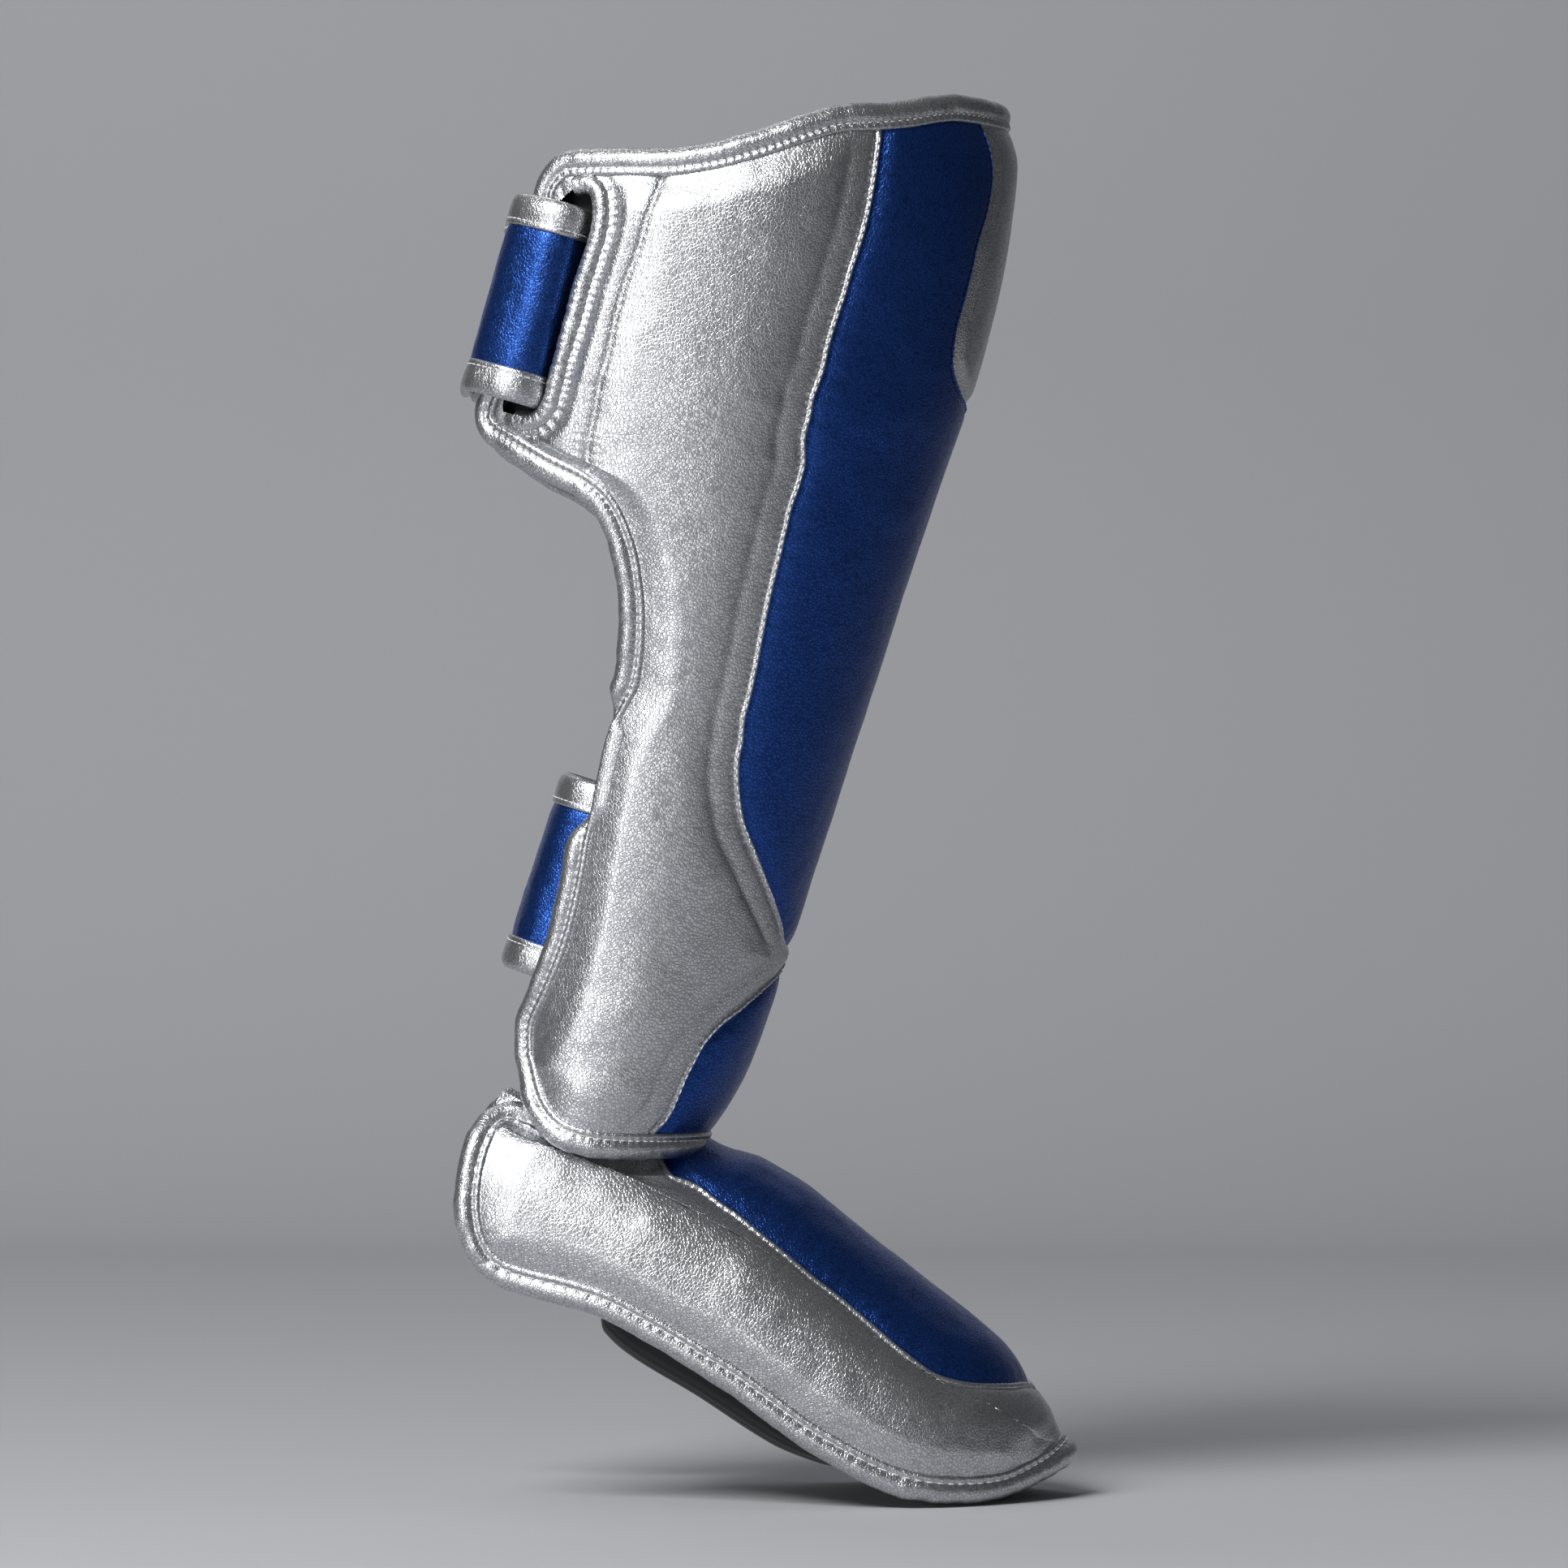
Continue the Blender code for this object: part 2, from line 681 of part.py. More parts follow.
def shin_panels(parts, silver, blue):
    edges = sorted({front_tip, ankle_tip})
    side_rows = sorted(set(rows_between(0.0, edges[0]) + rows_between(*edges) + rows_between(edges[1], 1.0)))

    def side_front(v):
        return np.maximum(np.where(v > front_tip, front_seam(v), 0), np.where(v < ankle_tip, ankle_seam(v), 0)) + gap_in_w(v)

    near = [shin_patch(side_front, lambda v: 0 * v + 1.0, side_rows, SIDE_COLUMNS, FLANK_PUFF)]
    right = solid("side_panel_right", near, parts, silver)
    solid("side_panel_left", mirrored(near), parts, silver)

    def blue_side(v):
        return np.where(v <= front_tip + 1e-9, 0, np.maximum(front_seam(v) - gap_in_w(v), 0))

    def blue_front(v):
        return np.where(v <= knee_tip + 1e-9, 0, knee_seam(v) + gap_in_w(v))

    upper = shin_patch(blue_front, blue_side, rows_between(knee_tip, 1.0), FRONT_COLUMNS, 0.0)
    lower = shin_patch(blue_front, blue_side, rows_between(front_tip, knee_tip), FRONT_COLUMNS, 0.0)
    solid("front_panel", [upper, lower, *mirrored([upper, lower])], parts, blue)

    def knee(v):
        return np.where(v <= knee_tip + TIP_GAP, 0, np.maximum(knee_seam(v) - gap_in_w(v), 0))

    rows = [knee_tip + TIP_GAP, *rows_between(knee_tip, 1.0)[1:]]
    solid("knee_panel", [shin_patch(lambda v: -knee(v), knee, rows, TONGUE_COLUMNS, 0.0)], parts, silver)

    def ankle(v):
        return np.where(v >= ankle_tip - 1e-9, 0, np.maximum(ankle_seam(v) - gap_in_w(v), 0))

    rows = rows_between(0.0, ankle_tip)
    solid("ankle_panel", [shin_patch(lambda v: -ankle(v), ankle, rows, TONGUE_COLUMNS, 0.0)], parts, blue)
    return right


def shin_lining(parts, black):
    v = np.array(LINING_ROWS)[:, None]
    share = np.sin(np.linspace(-1, 1, LINING_COLUMNS + 1) * 1.2) / math.sin(1.2)
    w = share * (1 - LINING_SET_BACK / girth_of_v(v))
    v = v + 0 * w
    wall = shin_wall(w, v)
    return solid("shin_lining", [(shin_point(w, v, wall - LINING_WALL), shin_point(w, v, wall))], parts, black)


def shin_edge_loop():
    """w and v round the shell's edge: up the near rim, over the top, down the far rim and back below."""
    up = list(SHIN_ROWS)
    over = [0.985, 0.95, 0.9, 0.82, 0.72, 0.62, 0.52, 0.42, 0.32, 0.2, 0.08]
    under = [0.96, 0.9, 0.82, 0.74, 0.62, 0.5, 0.36, 0.22, 0.07]
    loop = [(1.0, v) for v in up]
    loop += [(w, 1.0) for w in over + [-w for w in reversed(over)]]
    loop += [(-1.0, v) for v in reversed(up)]
    loop += [(-w, 0.0) for w in under] + [(w, 0.0) for w in reversed(under)]
    return np.array(loop).T


def shin_binding(parts, silver):
    w, v = shin_edge_loop()
    line = shin_point(w, v, 0 * w + RIM_WALL / 2)
    points = beside(line, -shin_normal(w, v), BINDING_RADIUS + PIECE_GAP, True)
    tube("shin_binding", points, BINDING_RADIUS, True, parts, silver)
    return points


def slot(parts, cutters, silver, cut_pieces):
    """The roll round the strap slot, and the hole that it edges, cut straight through panel and lining."""
    angle, z = seen_on_shin(SLOT_LINE)
    w, v = on_shin(SLOT_LINE)
    line = shin_point(w, v, 0 * w + RIM_WALL / 2 + 0.0005)
    tube("slot_binding", line, SLOT_BINDING_RADIUS, False, parts, silver)
    flat = line[:, [0, 2]]
    ahead = np.gradient(flat, axis=0)
    sideways = unit(np.stack([-ahead[:, 1], ahead[:, 0]], axis=1))
    outline = flat + sideways * (SLOT_BINDING_RADIUS + PIECE_GAP)
    lead = unit(flat[0] - flat[1]) * 2 * PIECE_GAP
    tail = unit(flat[-1] - flat[-2]) * 2 * PIECE_GAP
    rim_v = np.array([v[0] - 0.02, v[-1] + 0.02])
    rim = shin_point(np.ones(2), rim_v, np.full(2, RIM_WALL / 2))[:, [0, 2]]
    bar = rim + np.array([BAR_WIDTH, 0.0])
    outline = np.concatenate([[bar[0] + [0.0, 0.004]], [outline[0] + lead], outline, [outline[-1] + tail], [bar[1] - [0, 0.002]]])
    count = len(outline)
    near_y, far_y = -2 * SHIN_HALF_WIDTH, 0.0
    points = [(x, near_y, z) for x, z in outline] + [(x, far_y, z) for x, z in outline]
    faces = [list(range(count)), list(range(2 * count - 1, count - 1, -1))]
    faces += [[i, (i + 1) % count, (i + 1) % count + count, i + count] for i in range(count)]
    mesh = bpy.data.meshes.new("slot_cutter")
    mesh.from_pydata(points, [], faces)
    shape = bmesh.new()
    shape.from_mesh(mesh)
    bmesh.ops.recalc_face_normals(shape, faces=shape.faces)
    shape.to_mesh(mesh)
    shape.free()
    cutter = bpy.data.objects.new("slot_cutter", mesh)
    cutter.hide_render = True
    cutter.display_type = "WIRE"
    cutters.objects.link(cutter)
    for piece in cut_pieces:
        cut = piece.modifiers.new("slot", "BOOLEAN")
        cut.operation = "DIFFERENCE"
        cut.solver = "EXACT"
        cut.object = cutter


def to_seam_of_foot(w, u):
    past = np.maximum(u - instep_tip, 0)
    across = np.abs(w) - np.where(past > 0, 0, instep_seam(u))
    return np.hypot(across * FOOT_HALF_WIDTH * foot_rim(u), past * FOOT_LENGTH)


def foot_patch(left, right, rows, columns, puff):
    u = np.array(rows)[:, None]
    share = np.linspace(0, 1, columns + 1)
    w_left, w_right = left(u), right(u)
    w = w_left + (w_right - w_left) * share
    u = u + 0 * w
    to_seam = to_seam_of_foot(w, u)
    dip = SEAM_DIP * (1 - ease(to_seam / PUFF_RUN))
    rise = puff * ease(np.minimum(to_edge_of_foot(w, u), to_seam) / PUFF_RUN)
    inner = foot_wall(w, u) - LINING_WALL - FOOT_LINING_GAP
    return foot_point(w, u, dip - rise), foot_point(w, u, inner)


def instep(parts, silver, blue, black):
    def gap(u):
        return FOOT_SEAM_GAP / 2 / (FOOT_HALF_WIDTH * foot_rim(u))

    def side_start(u):
        return np.where(u < instep_tip, instep_seam(u) + gap(u), 0)

    def tongue(u):
        return np.where(u >= instep_tip - TIP_GAP, 0, np.maximum(instep_seam(u) - gap(u), 0))

    rows = sorted({row for row in FOOT_ROWS if abs(row - instep_tip) > 0.015} | {instep_tip})
    side = foot_patch(side_start, lambda u: 0 * u + 1.0, rows, FOOT_SIDE_COLUMNS, INSTEP_PUFF)
    solid("instep_side_panel", [side, *mirrored([side])], parts, silver, TOEWARDS)
    rows = [row for row in rows if row < instep_tip - 2 * TIP_GAP] + [instep_tip - TIP_GAP]
    top = foot_patch(lambda u: -tongue(u), tongue, rows, TONGUE_COLUMNS, 0.0)
    solid("instep_top_panel", [top], parts, blue, TOEWARDS)
    u = np.maximum(np.array(FOOT_ROWS), FOOT_LINING_SET_BACK)[:, None]
    w = np.linspace(-1, 1, 15) + 0 * u
    u = u + 0 * w
    wall = foot_wall(w, u)
    solid("instep_lining", [(foot_point(w, u, wall - LINING_WALL), foot_point(w, u, wall))], parts, black)


def instep_binding(parts, silver):
    heel = [0.60, 0.66, 0.72, 0.79, 0.86, 0.92, 0.97]
    toe = [0.95, 0.8, 0.5, 0.2]
    near = [(w, 0.0) for w in heel] + [(1.0, u) for u in FOOT_ROWS] + [(w, 1.0) for w in toe]
    w, u = np.array(near + [(-w, u) for w, u in reversed(near)]).T
    line = foot_point(w, u, 0 * w + RIM_WALL / 2)
    points = beside(line, foot_normal(w, u), BINDING_RADIUS + PIECE_GAP, False)
    tube("instep_binding", points, BINDING_RADIUS, False, parts, silver)


def ribbon(name, path, centre, east, axis, low, high, thickness, crown, parts, look):
    """A strap's length: path gives (ahead, sideways) places in the strap's plane, and its section runs from
    low to high across the plane, with corners cut by crown."""
    path = np.array(path)
    middle = centre + path[:, :1] * east + path[:, 1:] * np.array([0.0, 1.0, 0.0])
    ahead = unit(np.gradient(middle, axis=0))
    out = unit(np.cross(ahead, axis))
    half = thickness / 2
    if crown:
        section = [(low, 0), (low + crown, half), (high - crown, half), (high, 0), (high - crown, -half), (low + crown, -half)]
    else:
        section = [(low, half), (high, half), (high, -half), (low, -half)]
    rings = np.stack([middle + a * axis + b * out for a, b in section], axis=1)
    count, sides = rings.shape[:2]
    faces = [list(range(sides)), list(range((count - 1) * sides, count * sides))]
    for r in range(count - 1):
        for c in range(sides):
            d = (c + 1) % sides
            faces.append([r * sides + c, r * sides + d, (r + 1) * sides + d, (r + 1) * sides + c])
    mesh = bpy.data.meshes.new(name)
    mesh.from_pydata(rings.reshape(-1, 3).tolist(), [], faces)
    shape = bmesh.new()
    shape.from_mesh(mesh)
    bmesh.ops.recalc_face_normals(shape, faces=shape.faces)
    shape.to_mesh(mesh)
    shape.free()
    obj = bpy.data.objects.new(name, mesh)
    obj.data.materials.append(look)
    parts.objects.link(obj)


def rounded(points, passes=2):
    """Corner cutting: each pass replaces every inner corner by two points, a quarter along its sides."""
    points = np.array(points, float)
    for _ in range(passes):
        before, after = points[:-1], points[1:]
        cut = np.stack([0.75 * before + 0.25 * after, 0.25 * before + 0.75 * after], axis=1).reshape(-1, 2)
        points = np.concatenate([points[:1], cut[1:-1], points[-1:]])
    return points


def strap_plane(rolls, place, tilt):
    """The plane square to a strap's width, and the near rim's roll in it: its centre and the directions along
    and out of the wing there."""
    axis = np.array([math.sin(tilt), 0.0, math.cos(tilt)])
    east = np.array([math.cos(tilt), 0.0, -math.sin(tilt)])
    height = SHIN_BASE + place * SHIN_HEIGHT
    rear = rolls[: len(SHIN_ROWS)]
    k = int(np.argmin(np.abs(rear[:, 2] - height)))
    centre = np.array([rear[k, 0], 0.0, rear[k, 2]])
    across = (rear - centre) @ axis
    order = np.argsort(across)
    roll = np.array([np.interp(0.0, across[order], rear[order, i]) for i in range(3)])
    return axis, east, centre, np.array([(roll - centre) @ east, roll[1]])


def wing_line(axis, east, centre, shares, depth):
    """Places in the plane on the near wing, at shares of the way from the front to the rim."""
    found = []
    for share in shares:
        v = 0.5
        for _ in range(30):
            point = shin_point(share, v, depth)
            v -= ((point - centre) @ axis) / SHIN_HEIGHT
            v = float(np.clip(v, 0.01, 0.99))
        point = shin_point(share, v, depth)
        found.append([(point - centre) @ east, point[1]])
    return np.array(found)


def strap(name, path, plane, parts, blue, silver):
    axis, east, centre = plane
    half = STRAP_WIDTH / 2
    inner, outer = half + PIECE_GAP, half + PIECE_GAP + STRAP_EDGE_WIDTH
    chamfer = STRAP_EDGE_THICKNESS / 2
    ribbon(name, path, centre, east, axis, -half, half, STRAP_THICKNESS, 0, parts, blue)
    ribbon(f"{name}_top_edge", path, centre, east, axis, inner, outer, STRAP_EDGE_THICKNESS, chamfer, parts, silver)
    ribbon(f"{name}_bottom_edge", path, centre, east, axis, -outer, -inner, STRAP_EDGE_THICKNESS, chamfer, parts, silver)


def upper_strap(rolls, parts, blue, silver):
    """Sewn outside the far wing, across the back, inside the near rim, out of the slot and back over the rim."""
    axis, east, centre, roll = strap_plane(rolls, UPPER_STRAP_PLACE, UPPER_STRAP_TILT)
    flip = np.array([1.0, -1.0])
    out_of_roll = BINDING_RADIUS + STRAP_CLEARANCE + STRAP_EDGE_THICKNESS / 2 + UPPER_STRAP_LIFT
    wing = wing_line(axis, east, centre, (0.72, 0.80, 0.88, 0.95), RIM_WALL / 2)
    ahead = unit(wing[-1] - roll)
    out = np.array([ahead[1], -ahead[0]])
    if out @ np.array([0.0, -1.0]) < 0:
        out = -out
    off_wing = FLANK_PUFF + STRAP_CLEARANCE + STRAP_EDGE_THICKNESS / 2 + UPPER_SEWN_LIFT
    sewn = wing_line(axis, east, centre, (0.74, 0.81, 0.88, 0.95), -off_wing)
    far = [point * flip for point in sewn]
    far += [(roll + out * out_of_roll) * flip]
    far += [(roll + (out - ahead) * out_of_roll * 0.96) * flip]
    rear = roll[0] - out_of_roll
    fold = roll + ahead * FOLD_REACH
    inner = [np.array([rear + INNER_LAY_BOW / 2, roll[1] * -0.72]), np.array([rear + INNER_LAY_BOW, 0.0])]
    inner.append(roll * [1, 0.62] + np.array([INNER_LAY_LEAD, 0.0]))
    inner.append(roll - out * (out_of_roll + INNER_LAY_EXTRA) + ahead * FOLD_LEAD)
    turns = [fold + out_of_roll * (math.cos(a) * ahead + math.sin(a) * out) for a in np.radians((-90, -50, 0, 50, 90))]
    outer = [roll + out * out_of_roll + ahead * FOLD_LEAD, roll + (out - ahead) * out_of_roll * 0.78]
    outer += [np.array([rear - OUTER_LAY_BOW, roll[1] * 0.72]), np.array([rear - OUTER_LAY_BOW, 0.0])]
    outer += [np.array([rear - OUTER_LAY_DRIFT, -roll[1] - STRAP_END_GAP])]
    path = rounded([*far, *inner, *turns, *outer], 1)
    strap("upper_strap", path, (axis, east, centre), parts, blue, silver)


def lower_strap(rolls, parts, blue, silver):
    """From inside the near wing, across the back, and sewn outside the far wing."""
    axis, east, centre, roll = strap_plane(rolls, LOWER_STRAP_PLACE, LOWER_STRAP_TILT)
    flip = np.array([1.0, -1.0])
    half = STRAP_EDGE_THICKNESS / 2
    out_of_roll = BINDING_RADIUS + STRAP_CLEARANCE + half + LOWER_STRAP_LIFT
    near = wing_line(axis, east, centre, (0.78, 0.86, 0.93), SHIN_FLANK_WALL + STRAP_CLEARANCE + half)
    off_wing = FLANK_PUFF + STRAP_CLEARANCE + half + LOWER_STRAP_LIFT
    sewn = wing_line(axis, east, centre, (0.70, 0.78, 0.86, 0.94), -off_wing)
    ahead = unit(sewn[-1] - sewn[-2]) * -1
    out = np.array([ahead[1], -ahead[0]])
    if out @ np.array([0.0, -1.0]) < 0:
        out = -out
    path = [*near, roll - out * (out_of_roll + LOWER_STRAP_EXTRA)]
    near_bow, middle_bow, far_bow = LOWER_STRAP_BOWS
    path += [np.array([roll[0] - near_bow, roll[1] * 0.55]), np.array([roll[0] - middle_bow, 0.0])]
    path += [np.array([roll[0] - far_bow, -roll[1] * 0.7]), (roll + (out - ahead) * out_of_roll) * flip]
    path += [(roll + out * out_of_roll) * flip]
    path += [point * flip for point in reversed(sewn)]
    strap("lower_strap", rounded(path, 1), (axis, east, centre), parts, blue, silver)


def sole_strap(parts, black):
    """The elastic band: up inside each side of the instep, and flat under the sole."""
    share, drop = np.array(SOLE_SECTIONS).T
    rows = []
    for one, low in zip(share, drop):
        s = one * FOOT_LENGTH
        u = (s - foot_rim_s[0]) / (foot_rim_s[-1] - foot_rim_s[0])
        w = 1 - SOLE_SEWN_HEIGHT / (FOOT_HALF_WIDTH * foot_rim(u))
        top = foot_point(w, u, foot_wall(w, u) + SOLE_LINING_GAP)
        rim = foot_point(1.0, u, RIM_WALL / 2 + BINDING_RADIUS + SOLE_RIM_GAP)
        flat_x = FOOT_START[0] + s * math.cos(FOOT_SLOPE) - low * FOOT_ARCH * math.sin(FOOT_SLOPE)
        flat_z = FOOT_START[1] - s * math.sin(FOOT_SLOPE) - low * FOOT_ARCH * math.cos(FOOT_SLOPE)
        reach = abs(rim[1]) * 0.90
        side = [top, rim, np.array([flat_x, -reach, flat_z]), np.array([flat_x, -reach * 0.55, flat_z - SOLE_SAG[0]])]
        side.append(np.array([flat_x, 0.0, flat_z - SOLE_SAG[1]]))
        line = np.array(side + [point * [1, -1, 1] for point in reversed(side[:-1])])
        rows.append(line)
    outer = np.array(rows)
    along_row = np.gradient(outer, axis=1)
    along_foot = np.gradient(outer, axis=0)
    normal = unit(np.cross(along_row, along_foot))
    if normal[2, 4, 2] < 0:
        normal = -normal
    solid("sole_strap", [(outer, outer + normal * SOLE_STRAP_THICKNESS)], parts, black)


def ankle_web(parts, black):
    """A short tab inside the ankle's bend, held against both linings."""
    share = np.linspace(-1, 1, 9)
    skins = []
    for thickness in (0.0, WEB_THICKNESS):
        rows = []
        for place, clearance in SHIN_WEB_ROWS:
            w = share * SHIN_WEB_REACH
            v = place + 0 * w
            rows.append(shin_point(w, v, shin_wall(w, v) + clearance + thickness))
        for place, clearance in FOOT_WEB_ROWS:
            w = share * FOOT_WEB_REACH
            u = place + 0 * w
            rows.append(foot_point(w, u, foot_wall(w, u) + clearance + thickness))
        bend = len(SHIN_WEB_ROWS)
        sag = np.array(WEB_SAG)
        sag = sag + thickness * unit(sag)
        rows.insert(bend, (rows[bend - 1] + rows[bend]) / 2 - sag)
        skins.append(np.array(rows))
    solid("ankle_web", [tuple(skins)], parts, black)


def main():
    parts, cutters = start_scene()
    silver = material("silver_leather", (0.60, 0.61, 0.63), 0.42, 0.35)
    blue = material("blue_leather", (0.03, 0.10, 0.33), 0.45)
    black = material("black_lining", (0.03, 0.03, 0.035), 0.9)
    right = shin_panels(parts, silver, blue)
    lining = shin_lining(parts, black)
    rolls = shin_binding(parts, silver)
    slot(parts, cutters, silver, [right, lining])
    upper_strap(rolls, parts, blue, silver)
    lower_strap(rolls, parts, blue, silver)
    instep(parts, silver, blue, black)
    instep_binding(parts, silver)
    sole_strap(parts, black)
    ankle_web(parts, black)


main()
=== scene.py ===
"""Looks of the leather shin and instep guard, laid on the same two surfaces as its CAD model.

Sizes are in metres unless a name ends in mm. +X points to the toe, +Z up the leg, and the near side, which
carries the strap slot, faces -Y.
"""

import math

import bpy
import numpy as np
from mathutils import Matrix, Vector
from mathutils.bvhtree import BVHTree


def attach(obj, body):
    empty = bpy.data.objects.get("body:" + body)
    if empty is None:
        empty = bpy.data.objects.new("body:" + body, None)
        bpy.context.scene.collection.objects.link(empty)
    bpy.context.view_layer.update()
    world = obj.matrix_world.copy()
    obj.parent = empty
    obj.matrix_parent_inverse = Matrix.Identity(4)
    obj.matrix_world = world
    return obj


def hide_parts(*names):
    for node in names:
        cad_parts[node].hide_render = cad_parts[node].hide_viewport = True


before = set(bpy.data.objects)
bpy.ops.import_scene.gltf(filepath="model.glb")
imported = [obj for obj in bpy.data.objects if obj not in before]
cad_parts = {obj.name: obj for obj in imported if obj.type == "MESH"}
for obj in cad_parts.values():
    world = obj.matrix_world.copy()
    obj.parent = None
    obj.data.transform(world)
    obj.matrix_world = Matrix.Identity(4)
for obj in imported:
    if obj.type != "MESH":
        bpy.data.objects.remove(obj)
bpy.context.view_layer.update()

# The stage: matt paper laid as a floor and carried up behind in one sweep, one large soft light high on
# the left in front, two weak ones lower down in front and one over the paper. The camera looks level at
# the guard's side.
CAMERA_PLACE = (0.026, -3.0, 0.0)
CAMERA_LENS = 203.0
FLOOR_HEIGHT = -0.2412
SWEEP_START = 1.55
SWEEP_RADIUS = 0.5
SWEEP_HALF_WIDTH = 1.3
LIGHTS = (
    # name, place, aim, width, height, watts
    ("key", (-1.05, -1.60, 1.65), (-0.01, 0.0, -0.02), 1.3, 1.1, 70.0),
    ("strip", (-1.5, -1.9, -0.05), (-0.02, 0.0, -0.1), 0.6, 1.2, 17.0),
    ("front", (-0.4, -2.8, -0.1), (0.0, 0.0, -0.1), 1.0, 0.5, 3.0),
    ("back", (-0.5, 1.0, 1.7), (0.1, 1.5, 0.1), 1.4, 1.0, 6.0),
)


def linear(code):
    """Linear colour of an sRGB hex code: ((c + 0.055) / 1.055) ** 2.4, or c / 12.92 near black."""
    parts = [int(code[k : k + 2], 16) / 255 for k in (1, 3, 5)]
    return (*[c / 12.92 if c <= 0.04045 else ((c + 0.055) / 1.055) ** 2.4 for c in parts], 1.0)


def add(tree, kind, inputs=(), **settings):
    """Adds one shader node. inputs maps a socket's name or number to a value or to another node's socket."""
    made = tree.nodes.new(kind)
    for name, value in settings.items():
        setattr(made, name, value)
    for key, value in dict(inputs).items():
        if isinstance(value, bpy.types.NodeSocket):
            tree.links.new(value, made.inputs[key])
        else:
            made.inputs[key].default_value = value
    return made


def start_material(name):
    made = bpy.data.materials.new(name)
    made.use_nodes = True
    return made, made.node_tree, made.node_tree.nodes["Principled BSDF"]


def set_up_stage():
    paper, tree, shader = start_material("matt_paper")
    place = add(tree, "ShaderNodeTexCoord").outputs["Object"]
    fibre = add(tree, "ShaderNodeTexNoise", {"Vector": place, "Scale": 900.0, "Detail": 3.0})
    bump = add(tree, "ShaderNodeBump", {"Height": fibre.outputs["Fac"], "Strength": 0.2, "Distance": 0.0002})
    tree.links.new(bump.outputs["Normal"], shader.inputs["Normal"])
    shader.inputs["Base Color"].default_value = linear("#b6b7bb")
    shader.inputs["Roughness"].default_value = 0.9
    turn = np.linspace(0, math.pi / 2, 24)
    back = SWEEP_START + SWEEP_RADIUS * np.sin(turn)
    up = FLOOR_HEIGHT + SWEEP_RADIUS * (1 - np.cos(turn))
    line = [(-4.0, FLOOR_HEIGHT), *zip(back, up), (back[-1], 4.0)]
    points = [(x, y, z) for y, z in line for x in (-SWEEP_HALF_WIDTH, SWEEP_HALF_WIDTH)]
    faces = [(2 * k, 2 * k + 1, 2 * k + 3, 2 * k + 2) for k in range(len(line) - 1)]
    mesh = bpy.data.meshes.new("paper_sweep")
    mesh.from_pydata(points, [], faces)
    mesh.materials.append(paper)
    mesh.shade_smooth()
    sweep = bpy.data.objects.new("paper_sweep", mesh)
    bpy.context.collection.objects.link(sweep)
    for name, at, aim, width, height, watts in LIGHTS:
        lamp = bpy.data.lights.new(name, "AREA")
        lamp.shape = "RECTANGLE"
        lamp.size = width
        lamp.size_y = height
        lamp.energy = watts
        holder = bpy.data.objects.new(name, lamp)
        holder.location = at
        holder.rotation_euler = (Vector(aim) - Vector(at)).to_track_quat("-Z", "Y").to_euler()
        bpy.context.collection.objects.link(holder)
    world = bpy.data.worlds.new("room")
    world.use_nodes = True
    world.node_tree.nodes["Background"].inputs["Color"].default_value = linear("#b9bcc2")
    world.node_tree.nodes["Background"].inputs["Strength"].default_value = 0.12
    bpy.context.scene.world = world
    bpy.context.scene.view_settings.view_transform = "Standard"
    camera = bpy.data.cameras.new("camera")
    camera.lens = CAMERA_LENS
    camera.sensor_width = 36.0
    camera.clip_end = 50.0
    holder = bpy.data.objects.new("camera", camera)
    holder.location = CAMERA_PLACE
    holder.rotation_euler = (math.pi / 2, 0.0, 0.0)
    bpy.context.collection.objects.link(holder)
    bpy.context.scene.camera = holder


set_up_stage()

# The leathers: full-grain hide with a metal-flake finish, pressed with a fine pebble grain. The silver
# coat is thick and nearly metal, with a satin spread. The blue one is a thinner, darker coat.
PEBBLE_MM = 1.15
PEBBLE_DEPTH_MM = 0.060
# Columns: raised colour; pressed colour, which is painted shade in the grain's borders; metallic; roughness.
SILVER = ("#d6d7d9", "#a9abae", 0.94, 0.29)
BLUE = ("#2a52a2", "#1c3a78", 0.86, 0.28)


